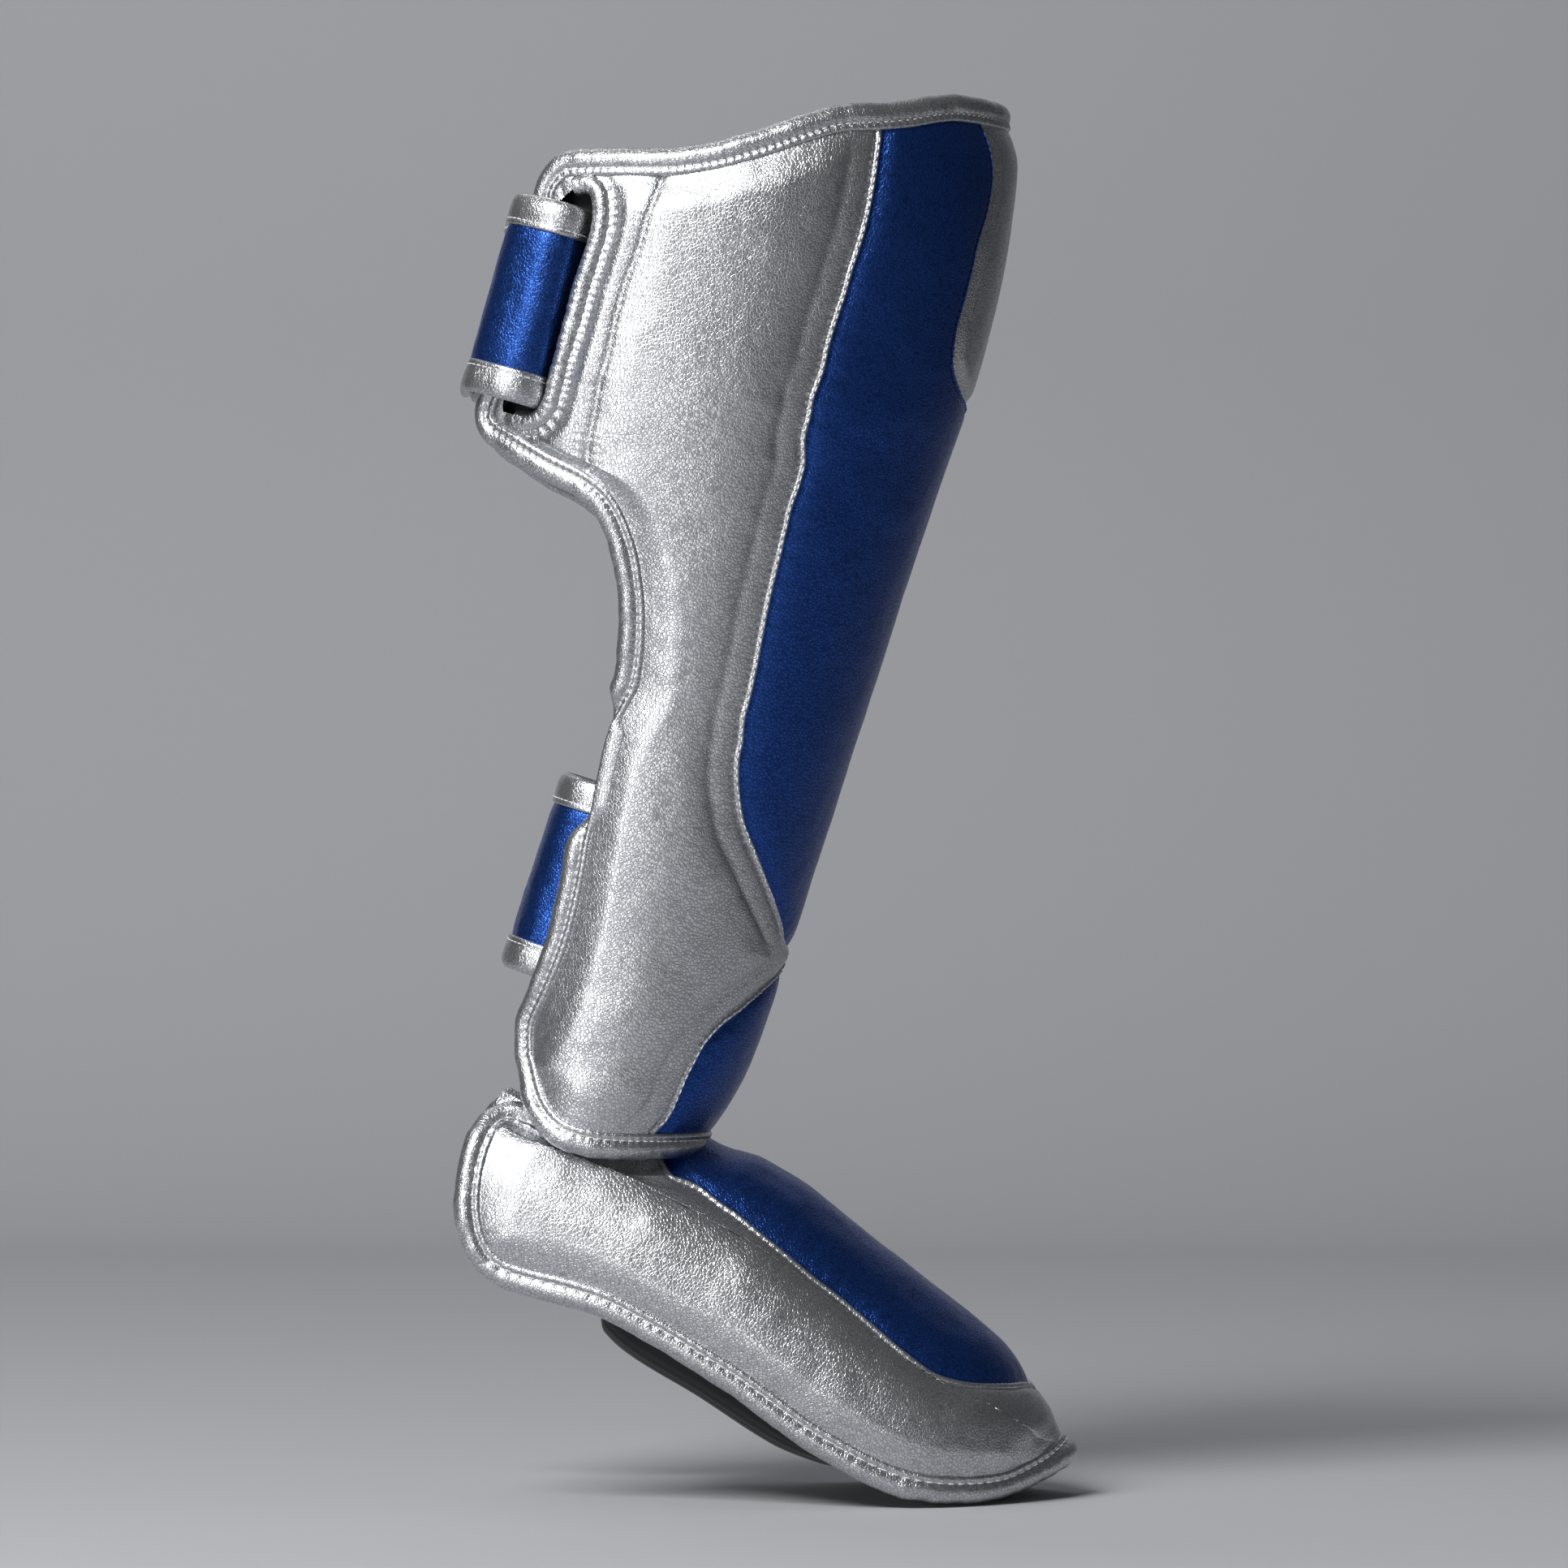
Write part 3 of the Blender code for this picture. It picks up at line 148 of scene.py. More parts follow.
def leather(name, colours):
    """Metallised pebble-grain leather. Cells about PEBBLE_MM across, their borders pressed in, with painted
    shade.
    """
    raised, pressed_shade_colour, metallic, roughness = colours
    made, tree, shader = start_material(name)
    place = add(tree, "ShaderNodeTexCoord").outputs["Object"]
    bend = add(tree, "ShaderNodeTexNoise", {"Vector": place, "Scale": 420.0, "Detail": 2.0})
    pushed = add(tree, "ShaderNodeVectorMath", {0: bend.outputs["Color"], "Scale": 0.0011}, operation="SCALE")
    moved = add(tree, "ShaderNodeVectorMath", {0: place, 1: pushed.outputs[0]}, operation="ADD")
    cells = add(
        tree,
        "ShaderNodeTexVoronoi",
        {"Vector": moved.outputs[0], "Scale": 1000 / PEBBLE_MM},
        feature="DISTANCE_TO_EDGE",
    )
    domes = add(
        tree,
        "ShaderNodeMapRange",
        {"Value": cells.outputs["Distance"], "From Max": 0.22},
        interpolation_type="SMOOTHSTEP",
    )
    fine = {"Vector": place, "Scale": 2600.0, "Detail": 3.0, "Roughness": 0.6}
    pores = add(tree, "ShaderNodeTexNoise", fine)
    broad = {"Vector": place, "Scale": 75.0, "Detail": 4.0, "Roughness": 0.55}
    creases = add(tree, "ShaderNodeTexNoise", broad)
    height = add(
        tree,
        "ShaderNodeMath",
        {0: pores.outputs["Fac"], 1: 0.2, 2: domes.outputs["Result"]},
        operation="MULTIPLY_ADD",
    )
    depth = PEBBLE_DEPTH_MM / 1000
    grain = add(tree, "ShaderNodeBump", {"Height": height.outputs[0], "Strength": 1.0, "Distance": depth})
    under = grain.outputs["Normal"]
    folded = {"Height": creases.outputs["Fac"], "Strength": 1.0, "Distance": 0.00035, "Normal": under}
    waves = add(tree, "ShaderNodeBump", folded)
    tree.links.new(waves.outputs["Normal"], shader.inputs["Normal"])
    # A Mix node lists one A and B for each data type, so the colour ones are set by number.
    # Painted shade: the pressed cell borders take the darker colour, the raised cells the lighter one.
    shade_painted_colour = add(
        tree,
        "ShaderNodeMix",
        {"Factor": domes.outputs["Result"], 6: linear(pressed_shade_colour), 7: linear(raised)},
        data_type="RGBA",
    )
    # Painted shade: the base colour is up to 3% darker in the hollows of the broad creases and lighter on
    # their crowns.
    crease_shade = add(
        tree,
        "ShaderNodeMapRange",
        {"Value": creases.outputs["Fac"], "From Min": 0.3, "From Max": 0.7, "To Min": 0.97, "To Max": 1.03},
    )
    crease_shade_inputs = {0: shade_painted_colour.outputs[2], "Scale": crease_shade.outputs["Result"]}
    shade = add(tree, "ShaderNodeVectorMath", crease_shade_inputs, operation="SCALE")
    tree.links.new(shade.outputs[0], shader.inputs["Base Color"])
    matt = add(
        tree,
        "ShaderNodeMapRange",
        {"Value": height.outputs[0], "From Max": 1.1, "To Min": roughness + 0.10, "To Max": roughness - 0.01},
    )
    tree.links.new(matt.outputs["Result"], shader.inputs["Roughness"])
    shader.inputs["Metallic"].default_value = metallic
    return made


silver_leather = leather("silver_metallised_leather", SILVER)
blue_leather = leather("blue_metallised_leather", BLUE)


def thread(name, colour):
    """Twisted polyester sewing thread, matt with a slight sheen."""
    made, tree, shader = start_material(name)
    place = add(tree, "ShaderNodeTexCoord").outputs["Object"]
    plies = add(tree, "ShaderNodeTexNoise", {"Vector": place, "Scale": 3500.0, "Detail": 2.0})
    bump = add(tree, "ShaderNodeBump", {"Height": plies.outputs["Fac"], "Strength": 0.6, "Distance": 0.0001})
    tree.links.new(bump.outputs["Normal"], shader.inputs["Normal"])
    shader.inputs["Base Color"].default_value = linear(colour)
    shader.inputs["Roughness"].default_value = 0.55
    shader.inputs["Sheen Weight"].default_value = 0.3
    return made


grey_thread = thread("grey_polyester_thread", "#dfe0e3")
blue_thread = thread("blue_polyester_thread", "#2e5aa8")

# The shin's side panels: silver leather over foam, one each side, folded back and stitched along the blue
# front. The foam stops short of that seam, which leaves a flat strip and a soft step, and fades at the rim.
SHIN_HEIGHT = 0.3416
SHIN_DEPTH = 0.1873
SHIN_HALF_WIDTH = 0.071
SHIN_BASE = -0.1189
RIM_WALL = 0.006
# Columns: height, a share of SHIN_HEIGHT above the lower edge; front, how far the oval's front lies ahead of
# the leg's axis, and depth, its length back from there, shares of SHIN_DEPTH; width, of SHIN_HALF_WIDTH.
SHIN_SECTIONS = (
    (0.00, 0.004, 0.435, 0.70),
    (0.06, 0.067, 0.464, 0.70),
    (0.12, 0.109, 0.500, 0.72),
    (0.18, 0.146, 0.536, 0.73),
    (0.28, 0.203, 0.580, 0.78),
    (0.40, 0.274, 0.638, 0.83),
    (0.56, 0.368, 0.783, 0.92),
    (0.67, 0.435, 0.900, 0.97),
    (0.72, 0.468, 0.950, 0.99),
    (0.80, 0.510, 1.000, 1.00),
    (0.88, 0.542, 1.000, 1.00),
    (0.96, 0.558, 0.995, 0.98),
    (1.00, 0.545, 0.985, 0.97),
)
# Lines as they are seen from the side. Columns: height, a share of SHIN_HEIGHT; ahead of the leg's axis, a
# share of SHIN_DEPTH.
REAR_RIM = (
    (0.083, -0.316),
    (0.107, -0.316),
    (0.146, -0.287),
    (0.170, -0.268),
    (0.210, -0.243),
    (0.258, -0.223),
    (0.313, -0.206),
    (0.369, -0.186),
    (0.406, -0.167),
    (0.422, -0.148),
    (0.444, -0.126),
    (0.472, -0.117),
    (0.516, -0.113),
    (0.560, -0.122),
    (0.603, -0.145),
    (0.630, -0.174),
    (0.649, -0.217),
    (0.665, -0.275),
    (0.684, -0.333),
    (0.707, -0.386),
    (0.731, -0.372),
    (0.798, -0.333),
    (0.878, -0.293),
    (0.930, -0.272),
)
TOP_EDGE = (
    (0.998, 0.545),
    (0.998, 0.529),
    (1.000, 0.450),
    (0.998, 0.420),
    (0.991, 0.362),
    (0.988, 0.316),
    (0.985, 0.246),
    (0.976, 0.188),
    (0.965, 0.130),
    (0.955, 0.072),
    (0.947, 0.014),
    (0.942, -0.072),
    (0.943, -0.188),
    (0.943, -0.246),
    (0.930, -0.272),
)
BOTTOM_EDGE = (
    (0.001, 0.004),
    (0.003, -0.106),
    (0.005, -0.174),
    (0.011, -0.232),
    (0.019, -0.261),
    (0.035, -0.287),
    (0.051, -0.300),
    (0.083, -0.316),
)
FRONT_SEAM = (
    (0.182, 0.145),
    (0.194, 0.142),
    (0.210, 0.138),
    (0.226, 0.130),
    (0.242, 0.120),
    (0.258, 0.109),
    (0.273, 0.099),
    (0.289, 0.087),
    (0.305, 0.075),
    (0.321, 0.068),
    (0.353, 0.062),
    (0.385, 0.068),
    (0.417, 0.075),
    (0.480, 0.101),
    (0.607, 0.152),
    (0.679, 0.180),
    (0.734, 0.203),
    (0.778, 0.225),
    (0.814, 0.246),
    (0.842, 0.261),
    (0.866, 0.275),
    (0.888, 0.287),
    (0.909, 0.296),
    (0.930, 0.303),
    (0.957, 0.310),
    (0.988, 0.316),
)
ANKLE_SEAM = (
    (0.003, -0.090),
    (0.023, -0.061),
    (0.039, -0.048),
    (0.063, -0.029),
    (0.087, -0.006),
    (0.106, 0.022),
    (0.125, 0.065),
    (0.142, 0.101),
    (0.166, 0.133),
)
WING_SEAM = (
    (0.950, -0.074),
    (0.925, -0.084),
    (0.897, -0.101),
    (0.863, -0.119),
    (0.834, -0.141),
    (0.802, -0.157),
    (0.766, -0.170),
    (0.735, -0.186),
    (0.711, -0.193),
    (0.687, -0.203),
    (0.655, -0.219),
)
SLOT_LINE = (
    (0.931, -0.235),
    (0.934, -0.214),
    (0.927, -0.191),
    (0.910, -0.186),
    (0.889, -0.188),
    (0.862, -0.203),
    (0.834, -0.222),
    (0.802, -0.236),
    (0.774, -0.251),
    (0.742, -0.267),
    (0.718, -0.277),
    (0.705, -0.293),
    (0.701, -0.315),
    (0.704, -0.340),
)
# How the silver stands off the bare shape beside its front seam. Columns: mm from the seam, mm outwards.
SILVER_SEAM_PROFILE = (
    (0.0, -1.5),
    (0.15, -0.75),
    (0.45, -0.2),
    (1.0, 0.05),
    (1.7, -0.05),
    (2.3, -0.5),
    (2.7, -0.5),
    (3.6, 0.05),
    (5.5, 0.55),
    (8.5, 0.75),
    (10.6, 0.65),
    (11.6, 0.75),
    (12.8, 1.35),
    (15.0, 2.0),
    (20.0, 2.6),
    (30.0, 3.0),
)
STITCH_LINE_MM = 2.5
SLOT_STITCH_MM = 5.4
SLOT_GATHER_MM = 2.6
STITCH_PITCH_MM = 2.8
# Stitches: length as a share of the pitch, mm thick, mm that the middle stands up.
STITCH_SIZE = (0.72, 0.46, 0.14)
SLOT_STITCH_SIZE = (0.7, 0.34, 0.0)
RIM_STITCH_SIZE = (0.72, 0.40, 0.06)
SHIN_ROW_COUNT = 430


def smooth(xs, ys):
    """A smooth curve through the points that never overshoots them (a monotone cubic), held flat outside."""
    xs = np.asarray(xs, float)
    ys = np.asarray(ys, float)
    step = np.diff(xs)
    slope = np.diff(ys) / step
    inner = np.zeros(len(xs))
    inner[0] = slope[0]
    inner[-1] = slope[-1]
    for i in range(1, len(xs) - 1):
        if slope[i - 1] * slope[i] > 0:
            a = 2 * step[i] + step[i - 1]
            b = step[i] + 2 * step[i - 1]
            inner[i] = (a + b) / (a / slope[i - 1] + b / slope[i])

    def value(x):
        x = np.clip(np.asarray(x, float), xs[0], xs[-1])
        i = np.clip(np.searchsorted(xs, x) - 1, 0, len(xs) - 2)
        h = step[i]
        t = (x - xs[i]) / h
        return (
            ys[i] * (1 + 2 * t) * (1 - t) ** 2
            + h * inner[i] * t * (1 - t) ** 2
            + ys[i + 1] * t * t * (3 - 2 * t)
            + h * inner[i + 1] * t * t * (t - 1)
        )

    return value


def ease(t):
    t = np.clip(t, 0.0, 1.0)
    return t * t * (3 - 2 * t)


def unit(vectors):
    return vectors / np.maximum(np.linalg.norm(vectors, axis=-1, keepdims=True), 1e-12)


heights, fronts, depths, widths = np.array(SHIN_SECTIONS).T
section_front = smooth(heights * SHIN_HEIGHT + SHIN_BASE, fronts * SHIN_DEPTH)
section_depth = smooth(heights * SHIN_HEIGHT + SHIN_BASE, depths * SHIN_DEPTH)
section_width = smooth(heights * SHIN_HEIGHT + SHIN_BASE, widths * SHIN_HALF_WIDTH)


def seen_on_shin(table):
    """Angle round the oval and height of each row of a side-view line."""
    share = np.array(table)
    z = SHIN_BASE + share[:, 0] * SHIN_HEIGHT
    back = section_front(z) - share[:, 1] * SHIN_DEPTH
    return np.arccos(np.clip(1 - 2 * back / section_depth(z), -1, 1)), z


rim_angle, rim_z = seen_on_shin(REAR_RIM)
rim_of_v = smooth((rim_z - rim_z[0]) / (rim_z[-1] - rim_z[0]), rim_angle)
top_angle, top_z = seen_on_shin(TOP_EDGE)
top_of_w = smooth(top_angle / top_angle[-1], top_z)
bottom_angle, bottom_z = seen_on_shin(BOTTOM_EDGE)
bottom_of_w = smooth(bottom_angle / bottom_angle[-1], bottom_z)


def shin_oval(z, angle):
    """x = front - depth / 2 * (1 - cos angle), y = -width * sin angle."""
    x = section_front(z) - section_depth(z) / 2 * (1 - np.cos(angle))
    return np.stack([x, -section_width(z) * np.sin(angle), z], axis=-1)


def shin_place(w, v):
    """w is 0 at the front, 1 at the near rim, -1 at the far one; v runs from the lower to the upper edge."""
    side = np.abs(w)
    return bottom_of_w(side) + v * (top_of_w(side) - bottom_of_w(side)), w * rim_of_v(v)


def outward(surface, along, angle, step, forwards):
    up = surface(along + step, angle) - surface(along - step, angle)
    round_it = surface(along, angle + 0.02) - surface(along, angle - 0.02)
    return unit(np.cross(up, round_it)) * forwards


def shin_normal(w, v):
    z, angle = shin_place(w, v)
    return outward(shin_oval, z, angle, 0.002, 1.0)


def shin_point(w, v, height=0.0):
    """The shin's bare surface at (w, v), moved outwards by height."""
    w = np.asarray(w, float)
    v = np.asarray(v, float) + 0 * w
    w = w + 0 * v
    return shin_oval(*shin_place(w, v)) + shin_normal(w, v) * np.asarray(height + 0 * w)[..., None]


def on_shin(table):
    """(w, v) of each row of a side-view line on the shin."""
    angle, z = seen_on_shin(table)
    v = (z - SHIN_BASE) / SHIN_HEIGHT
    for _ in range(20):
        w = angle / rim_of_v(v)
        v = (z - bottom_of_w(w)) / (top_of_w(w) - bottom_of_w(w))
    return w, v


def seam_of(table, tip_first):
    """w of a seam as a function of v, nothing at its tip, which is the table's first or last row."""
    w, v = on_shin(table)
    w[0 if tip_first else -1] = 0.0
    return smooth(v, w), v[0 if tip_first else -1]


front_seam, front_tip = seam_of(FRONT_SEAM, True)
ankle_seam, ankle_tip = seam_of(ANKLE_SEAM, False)


def shin_girth(v):
    """Length round the shell from the front to one rim at each v."""
    steps = np.linspace(0, 1, 15)
    line = np.array([shin_point(steps, np.full(15, float(one))) for one in v])
    return np.linalg.norm(np.diff(line, axis=1), axis=2).sum(axis=1)


girth_rows = np.linspace(0, 1, 60)
girth_of_v = smooth(girth_rows, shin_girth(girth_rows))


def even(line, step):
    """The line's points respaced about a step apart."""
    run = np.concatenate([[0], np.cumsum(np.linalg.norm(np.diff(line, axis=0), axis=1))])
    at = np.linspace(0, run[-1], max(2, int(round(run[-1] / step)) + 1))
    return np.stack([np.interp(at, run, line[:, k]) for k in range(line.shape[1])], axis=1)


def nearest(points, line):
    """Distance in mm from each point to a line, and how far along the line in mm its nearest place is."""
    flat = points.reshape(-1, 3)
    ahead = np.diff(line, axis=0)
    length = np.linalg.norm(ahead, axis=1)
    run = np.concatenate([[0], np.cumsum(length)])
    away = np.empty(len(flat))
    along = np.empty(len(flat))
    for first in range(0, len(flat), 5000):
        some = flat[first : first + 5000, None] - line[None, :-1]
        share = np.clip(np.einsum("psk,sk->ps", some, ahead) / length**2, 0, 1)
        gap = np.linalg.norm(some - share[..., None] * ahead, axis=2)
        best = gap.argmin(axis=1)
        rows = np.arange(len(best))
        away[first : first + 5000] = gap[rows, best]
        along[first : first + 5000] = run[best] + share[rows, best] * length[best]
    return away.reshape(points.shape[:-1]) * 1000, along.reshape(points.shape[:-1]) * 1000


def ripple(points, size_mm, seed):
    """Noise from -1 to 1, about size_mm across: lattice values hashed from the corner's numbers, blended by
    the eased fractions of the way between corners."""
    place = points * 1000 / size_mm + 0.37 * seed
    corner = np.floor(place).astype(np.int64)
    part = ease(place - corner)
    total = np.zeros(points.shape[:-1])
    for step in np.ndindex(2, 2, 2):
        c = corner + np.array(step)
        key = (c[..., 0] * 73856093) ^ (c[..., 1] * 19349663) ^ (c[..., 2] * 83492791) ^ (seed * 2654435761)
        key = (key ^ (key >> 13)) * 1274126177 & 0x7FFFFFFF
        key = (key ^ (key >> 11)) * 461845907 & 0x7FFFFFFF
        share = np.prod(np.where(np.array(step) == 1, part, 1 - part), axis=-1)
        total += share * (key / 0x3FFFFFFF - 1)
    return total


def mesh_piece(name, points, faces, look, slot, nodes=()):
    """A smooth-shaded object at the origin that rides on the root and stands for the CAD nodes named."""
    mesh = bpy.data.meshes.new(name)
    faces = faces.tolist() if isinstance(faces, np.ndarray) else faces
    mesh.from_pydata(np.asarray(points).tolist(), [], faces)
    mesh.materials.append(look)
    mesh.shade_smooth()
    made = bpy.data.objects.new(name, mesh)
    bpy.context.collection.objects.link(made)
    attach(made, "root")
    if nodes:
        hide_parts(*nodes)
    return made


def grid_faces(rows, columns, first=0, flip=False, around=False):
    """Quads of a grid whose points are numbered row by row; around joins the last column to the first."""
    number = first + np.arange(rows * columns).reshape(rows, columns)
    right = np.roll(number, -1, axis=1) if around else number[:, 1:]
    left = number if around else number[:, :-1]
    quads = np.stack([left[:-1], right[:-1], right[1:], left[1:]], axis=-1).reshape(-1, 4)
    return quads[:, ::-1] if flip else quads


def capped_faces(rows, columns):
    """Faces of a tube of rings with its two ends closed."""
    faces = grid_faces(rows, columns, 0, False, True).tolist()
    last = rows * columns - columns
    return faces + [list(range(columns)), list(range(last, rows * columns))[::-1]]


def welded(grids, keep=None):
    """Points and quads of several grids. Points that coincide are one, and quads face the first grid's side.
    keep says which quads stay, from their middles."""
    points = np.concatenate([grid.reshape(-1, 3) for grid, _ in grids])
    faces = []
    first = 0
    for grid, flip in grids:
        faces.append(grid_faces(*grid.shape[:2], first, flip))
        first += grid.shape[0] * grid.shape[1]
    faces = np.concatenate(faces)
    _, lead, index = np.unique(np.round(points, 6) + 0.0, axis=0, return_index=True, return_inverse=True)
    points = points[lead]
    faces = index.reshape(-1)[faces]
    if keep is not None:
        faces = faces[keep(points[faces].mean(axis=1))]
    faces = [list(dict.fromkeys(face)) for face in faces.tolist()]
    faces = [face for face in faces if len(face) > 2]
    return points, faces


def quad_piece(name, grids, look, slot, nodes, keep=None):
    """One piece of several grids, welded where they meet."""
    made = mesh_piece(name, *welded(grids, keep), look, slot, nodes)
    made.data.validate()
    return made


def surface_of(guide):
    corners = [v.co for v in guide.data.vertices]
    return BVHTree.FromPolygons(corners, [p.vertices for p in guide.data.polygons])


def stitches(
    name, guide, line, pitch_mm=STITCH_PITCH_MM, size=STITCH_SIZE, look=grey_thread, slot="silver_leather"
):
    """A row of stitches along the line on the guide object's surface. Each is a capsule sunk at its ends:
    height = lift - 0.35 * s**4 mm, thickness falling off as sqrt(1 - s**4), s from -1 to 1 along it."""
    length_share, thick_mm, lift_mm = size
    tree = surface_of(guide)
    spots = even(line, pitch_mm / 1000)
    middles = (spots[1:] + spots[:-1]) / 2
    ahead = unit(spots[1:] - spots[:-1])
    s = np.array([-1.0, -0.93, -0.7, -0.35, 0.0, 0.35, 0.7, 0.93, 1.0])
    thick = thick_mm / 2000 * np.sqrt(np.maximum(1 - s**4, 0.02))
    turn = np.linspace(0, 2 * math.pi, 9)[:-1]
    points = []
    faces = []
    for middle, forward in zip(middles, ahead):
        spot, normal, _, far = tree.find_nearest(Vector(middle))
        if spot is None or far > 0.006:
            continue
        up = np.array(normal)
        forward = unit(forward - (forward @ up) * up)
        side = np.cross(up, forward)
        reach = s * pitch_mm / 2000 * length_share
        lift = (lift_mm - 0.35 * s**4) / 1000
        ring = np.cos(turn)[:, None] * side + np.sin(turn)[:, None] * up
        grid = np.array(spot) + reach[:, None, None] * forward + lift[:, None, None] * up
        grid = grid + thick[:, None, None] * ring[None]
        faces.append(grid_faces(len(s), len(turn), len(points) * len(s) * len(turn), False, True))
        points.append(grid.reshape(-1, 3))
    return mesh_piece(name, np.concatenate(points), np.concatenate(faces), look, slot)


def rounded(points, passes=2):
    """Corner cutting: each pass replaces every inner corner by two points, a quarter along its sides."""
    points = np.array(points, float)
    for _ in range(passes):
        before, after = points[:-1], points[1:]
        cut = np.stack([0.75 * before + 0.25 * after, 0.25 * before + 0.75 * after], axis=1)
        points = np.concatenate([points[:1], cut.reshape(-1, points.shape[1])[1:-1], points[-1:]])
    return points


seam_rows = np.concatenate([np.linspace(1, front_tip, 400), np.linspace(ankle_tip, 0, 160)])
seam_w = np.where(seam_rows >= front_tip, front_seam(seam_rows), ankle_seam(seam_rows))
silver_edge = even(shin_point(seam_w, seam_rows), 0.001)
wing_line_on_shin = even(shin_point(*on_shin(WING_SEAM)), 0.001)
slot_on_shin = even(rounded(shin_point(*on_shin(SLOT_LINE))), 0.001)
silver_profile = smooth(*np.array(SILVER_SEAM_PROFILE).T)


def to_shin_edge(w, v):
    """Distance in mm to the nearest edge of the shell."""
    side = np.abs(w)
    tall = top_of_w(side) - bottom_of_w(side)
    return np.minimum((1 - side) * girth_of_v(v), np.minimum(v, 1 - v) * tall) * 1000


def wing_stitching(base):
    """The sewn line on the wing: the hide is drawn in along it and puckers between stitches."""
    away, along = nearest(base, wing_line_on_shin)
    draw = -0.75 * np.exp(-((away / 1.1) ** 2)) - 0.75 * np.exp(-((away / 6.0) ** 2))
    pucker = 0.24 * np.cos(2 * math.pi * along / STITCH_PITCH_MM)
    pucker = pucker * np.exp(-away / 2.2) * (1 - np.exp(-away / 0.8))
    where = np.stack([along, 0 * along, away / 3], axis=-1) / 1000
    folds = 0.30 * ripple(where, 4.5, 5) * np.exp(-away / 5.0)
    return draw + pucker + folds


def slot_hold(base, stand):
    """Round the slot the hide is held down by the roll, and stitched just outside it."""
    away, along = nearest(base, slot_on_shin)
    held = stand - (np.maximum(stand, 0) + 0.3) * (1 - ease((away - 4.0) / 7.0))
    stitched = -0.45 * np.exp(-(((away - SLOT_STITCH_MM) / 0.9) ** 2))
    pucker = 0.30 * np.cos(2 * math.pi * along / SLOT_GATHER_MM + 2 * ripple(base, 6.0, 19))
    pucker = pucker * np.exp(-(((away - 4.5) / 2.2) ** 2))
    return held + stitched + pucker


def silver_height(w, v, seed, slotted):
    base = shin_point(w, v)
    away, along = nearest(base, silver_edge)
    stand = silver_profile(away)
    pucker = 0.13 * np.cos(2 * math.pi * along / STITCH_PITCH_MM) * np.exp(-(((away - 2.6) / 1.3) ** 2))
    edge = to_shin_edge(w, v)
    stand = stand - np.maximum(stand, 0) * (1 - ease(edge / 14)) - 0.4 * (1 - ease(edge / 4))
    if slotted:
        stand = slot_hold(base, stand)
    waves = 0.34 * ripple(base, 23.0, seed) + 0.16 * ripple(base, 9.0, seed + 1)
    waves = waves + 0.06 * ripple(base, 3.6, seed + 2)
    gathers = 0.16 * ripple(base * [1.0, 1.0, 0.45], 5.0, seed + 3) * np.exp(-edge / 7.0)
    waves = waves * (0.35 + 0.65 * ease((away - 3) / 10)) * ease(away / 1.5)
    return (stand + pucker + waves + gathers + wing_stitching(base)) / 1000


def side_panel_grid(seed, slotted):
    v = np.unique(np.concatenate([np.linspace(0, 1, SHIN_ROW_COUNT), [front_tip, ankle_tip]]))[:, None]
    start = np.where(v > front_tip, front_seam(v), 0)
    start = np.maximum(start, np.where(v < ankle_tip, ankle_seam(v), 0))
    near = np.array([0, 0.12, 0.28, 0.5, 0.8, 1.2, 1.6, 1.95, 2.25, 2.5, 2.8, 3.2, *np.arange(3.8, 15, 0.75)])
    near = near / 1000 / girth_of_v(v)
    rest = np.linspace(0, 1, 118)[1:]
    w = np.concatenate([start + near, start + near[:, -1:] + (1 - start - near[:, -1:]) * rest], axis=1)
    v = v + 0 * w
    return w, v, shin_point(w, v, silver_height(w, v, seed, slotted))


FAR = np.array([1.0, -1.0, 1.0])
near_side = side_panel_grid(3, True)[2]
far_side = side_panel_grid(11, False)[2] * FAR

# The strap's slot: the opening cut in the near wing, edged with a strip of silver leather that is gathered
# over a cord into a puckered roll and stitched outside it.
SLOT_ROLL_RADII_MM = (3.3, 3.0)
BAR_WIDTH = 0.0032


slot_w, slot_v = on_shin(SLOT_LINE)
slot_middle = even(rounded(shin_point(slot_w, slot_v, -0.0012)), 0.0004)
slot_normals = shin_normal(
    np.interp(np.linspace(0, 1, len(slot_middle)), np.linspace(0, 1, len(slot_w)), slot_w),
    np.interp(np.linspace(0, 1, len(slot_middle)), np.linspace(0, 1, len(slot_v)), slot_v),
)
rim_beside_slot = shin_point(np.ones(2), np.array([slot_v[0] - 0.02, slot_v[-1] + 0.02]))
slot_outline = np.concatenate(
    [
        slot_middle[::12, [0, 2]],
        [rim_beside_slot[1, [0, 2]] + [BAR_WIDTH, -0.002], rim_beside_slot[0, [0, 2]] + [BAR_WIDTH, 0.004]],
    ]
)


def inside_outline(points, outline):
    """Whether each point, seen from the side, lies inside the outline: an odd number of crossings ahead."""
    x, z = points[:, 0], points[:, 2]
    inside = np.zeros(len(points), bool)
    for a, b in zip(outline, np.roll(outline, -1, axis=0)):
        spans = (a[1] > z) != (b[1] > z)
        cross = a[0] + (z - a[1]) * (b[0] - a[0]) / (b[1] - a[1] + 1e-15)
        inside ^= spans & (x < cross)
    return inside


side_panel_right = quad_piece(
    "side_panel_right_leather",
    [(near_side, True)],
    silver_leather,
    "silver_leather",
    ["side_panel_right"],
    lambda middles: ~inside_outline(middles, slot_outline),
)
side_panel_left = quad_piece(
    "side_panel_left_leather", [(far_side, False)], silver_leather, "silver_leather", ["side_panel_left"]
)


def swept(line, ups, profile, closed):
    """Grid of a profile carried along a line. profile gives (sideways, up) in metres for each place on the
    line, or once for all; sideways is up crossed with the direction ahead."""
    ring = np.roll(line, -1, axis=0) - np.roll(line, 1, axis=0)
    ahead = unit(ring if closed else np.gradient(line, axis=0))
    ups = unit(ups - np.sum(ups * ahead, axis=1, keepdims=True) * ahead)
    sideways = np.cross(ahead, ups)
    return line[:, None] + profile[..., :1] * sideways[:, None] + profile[..., 1:] * ups[:, None]


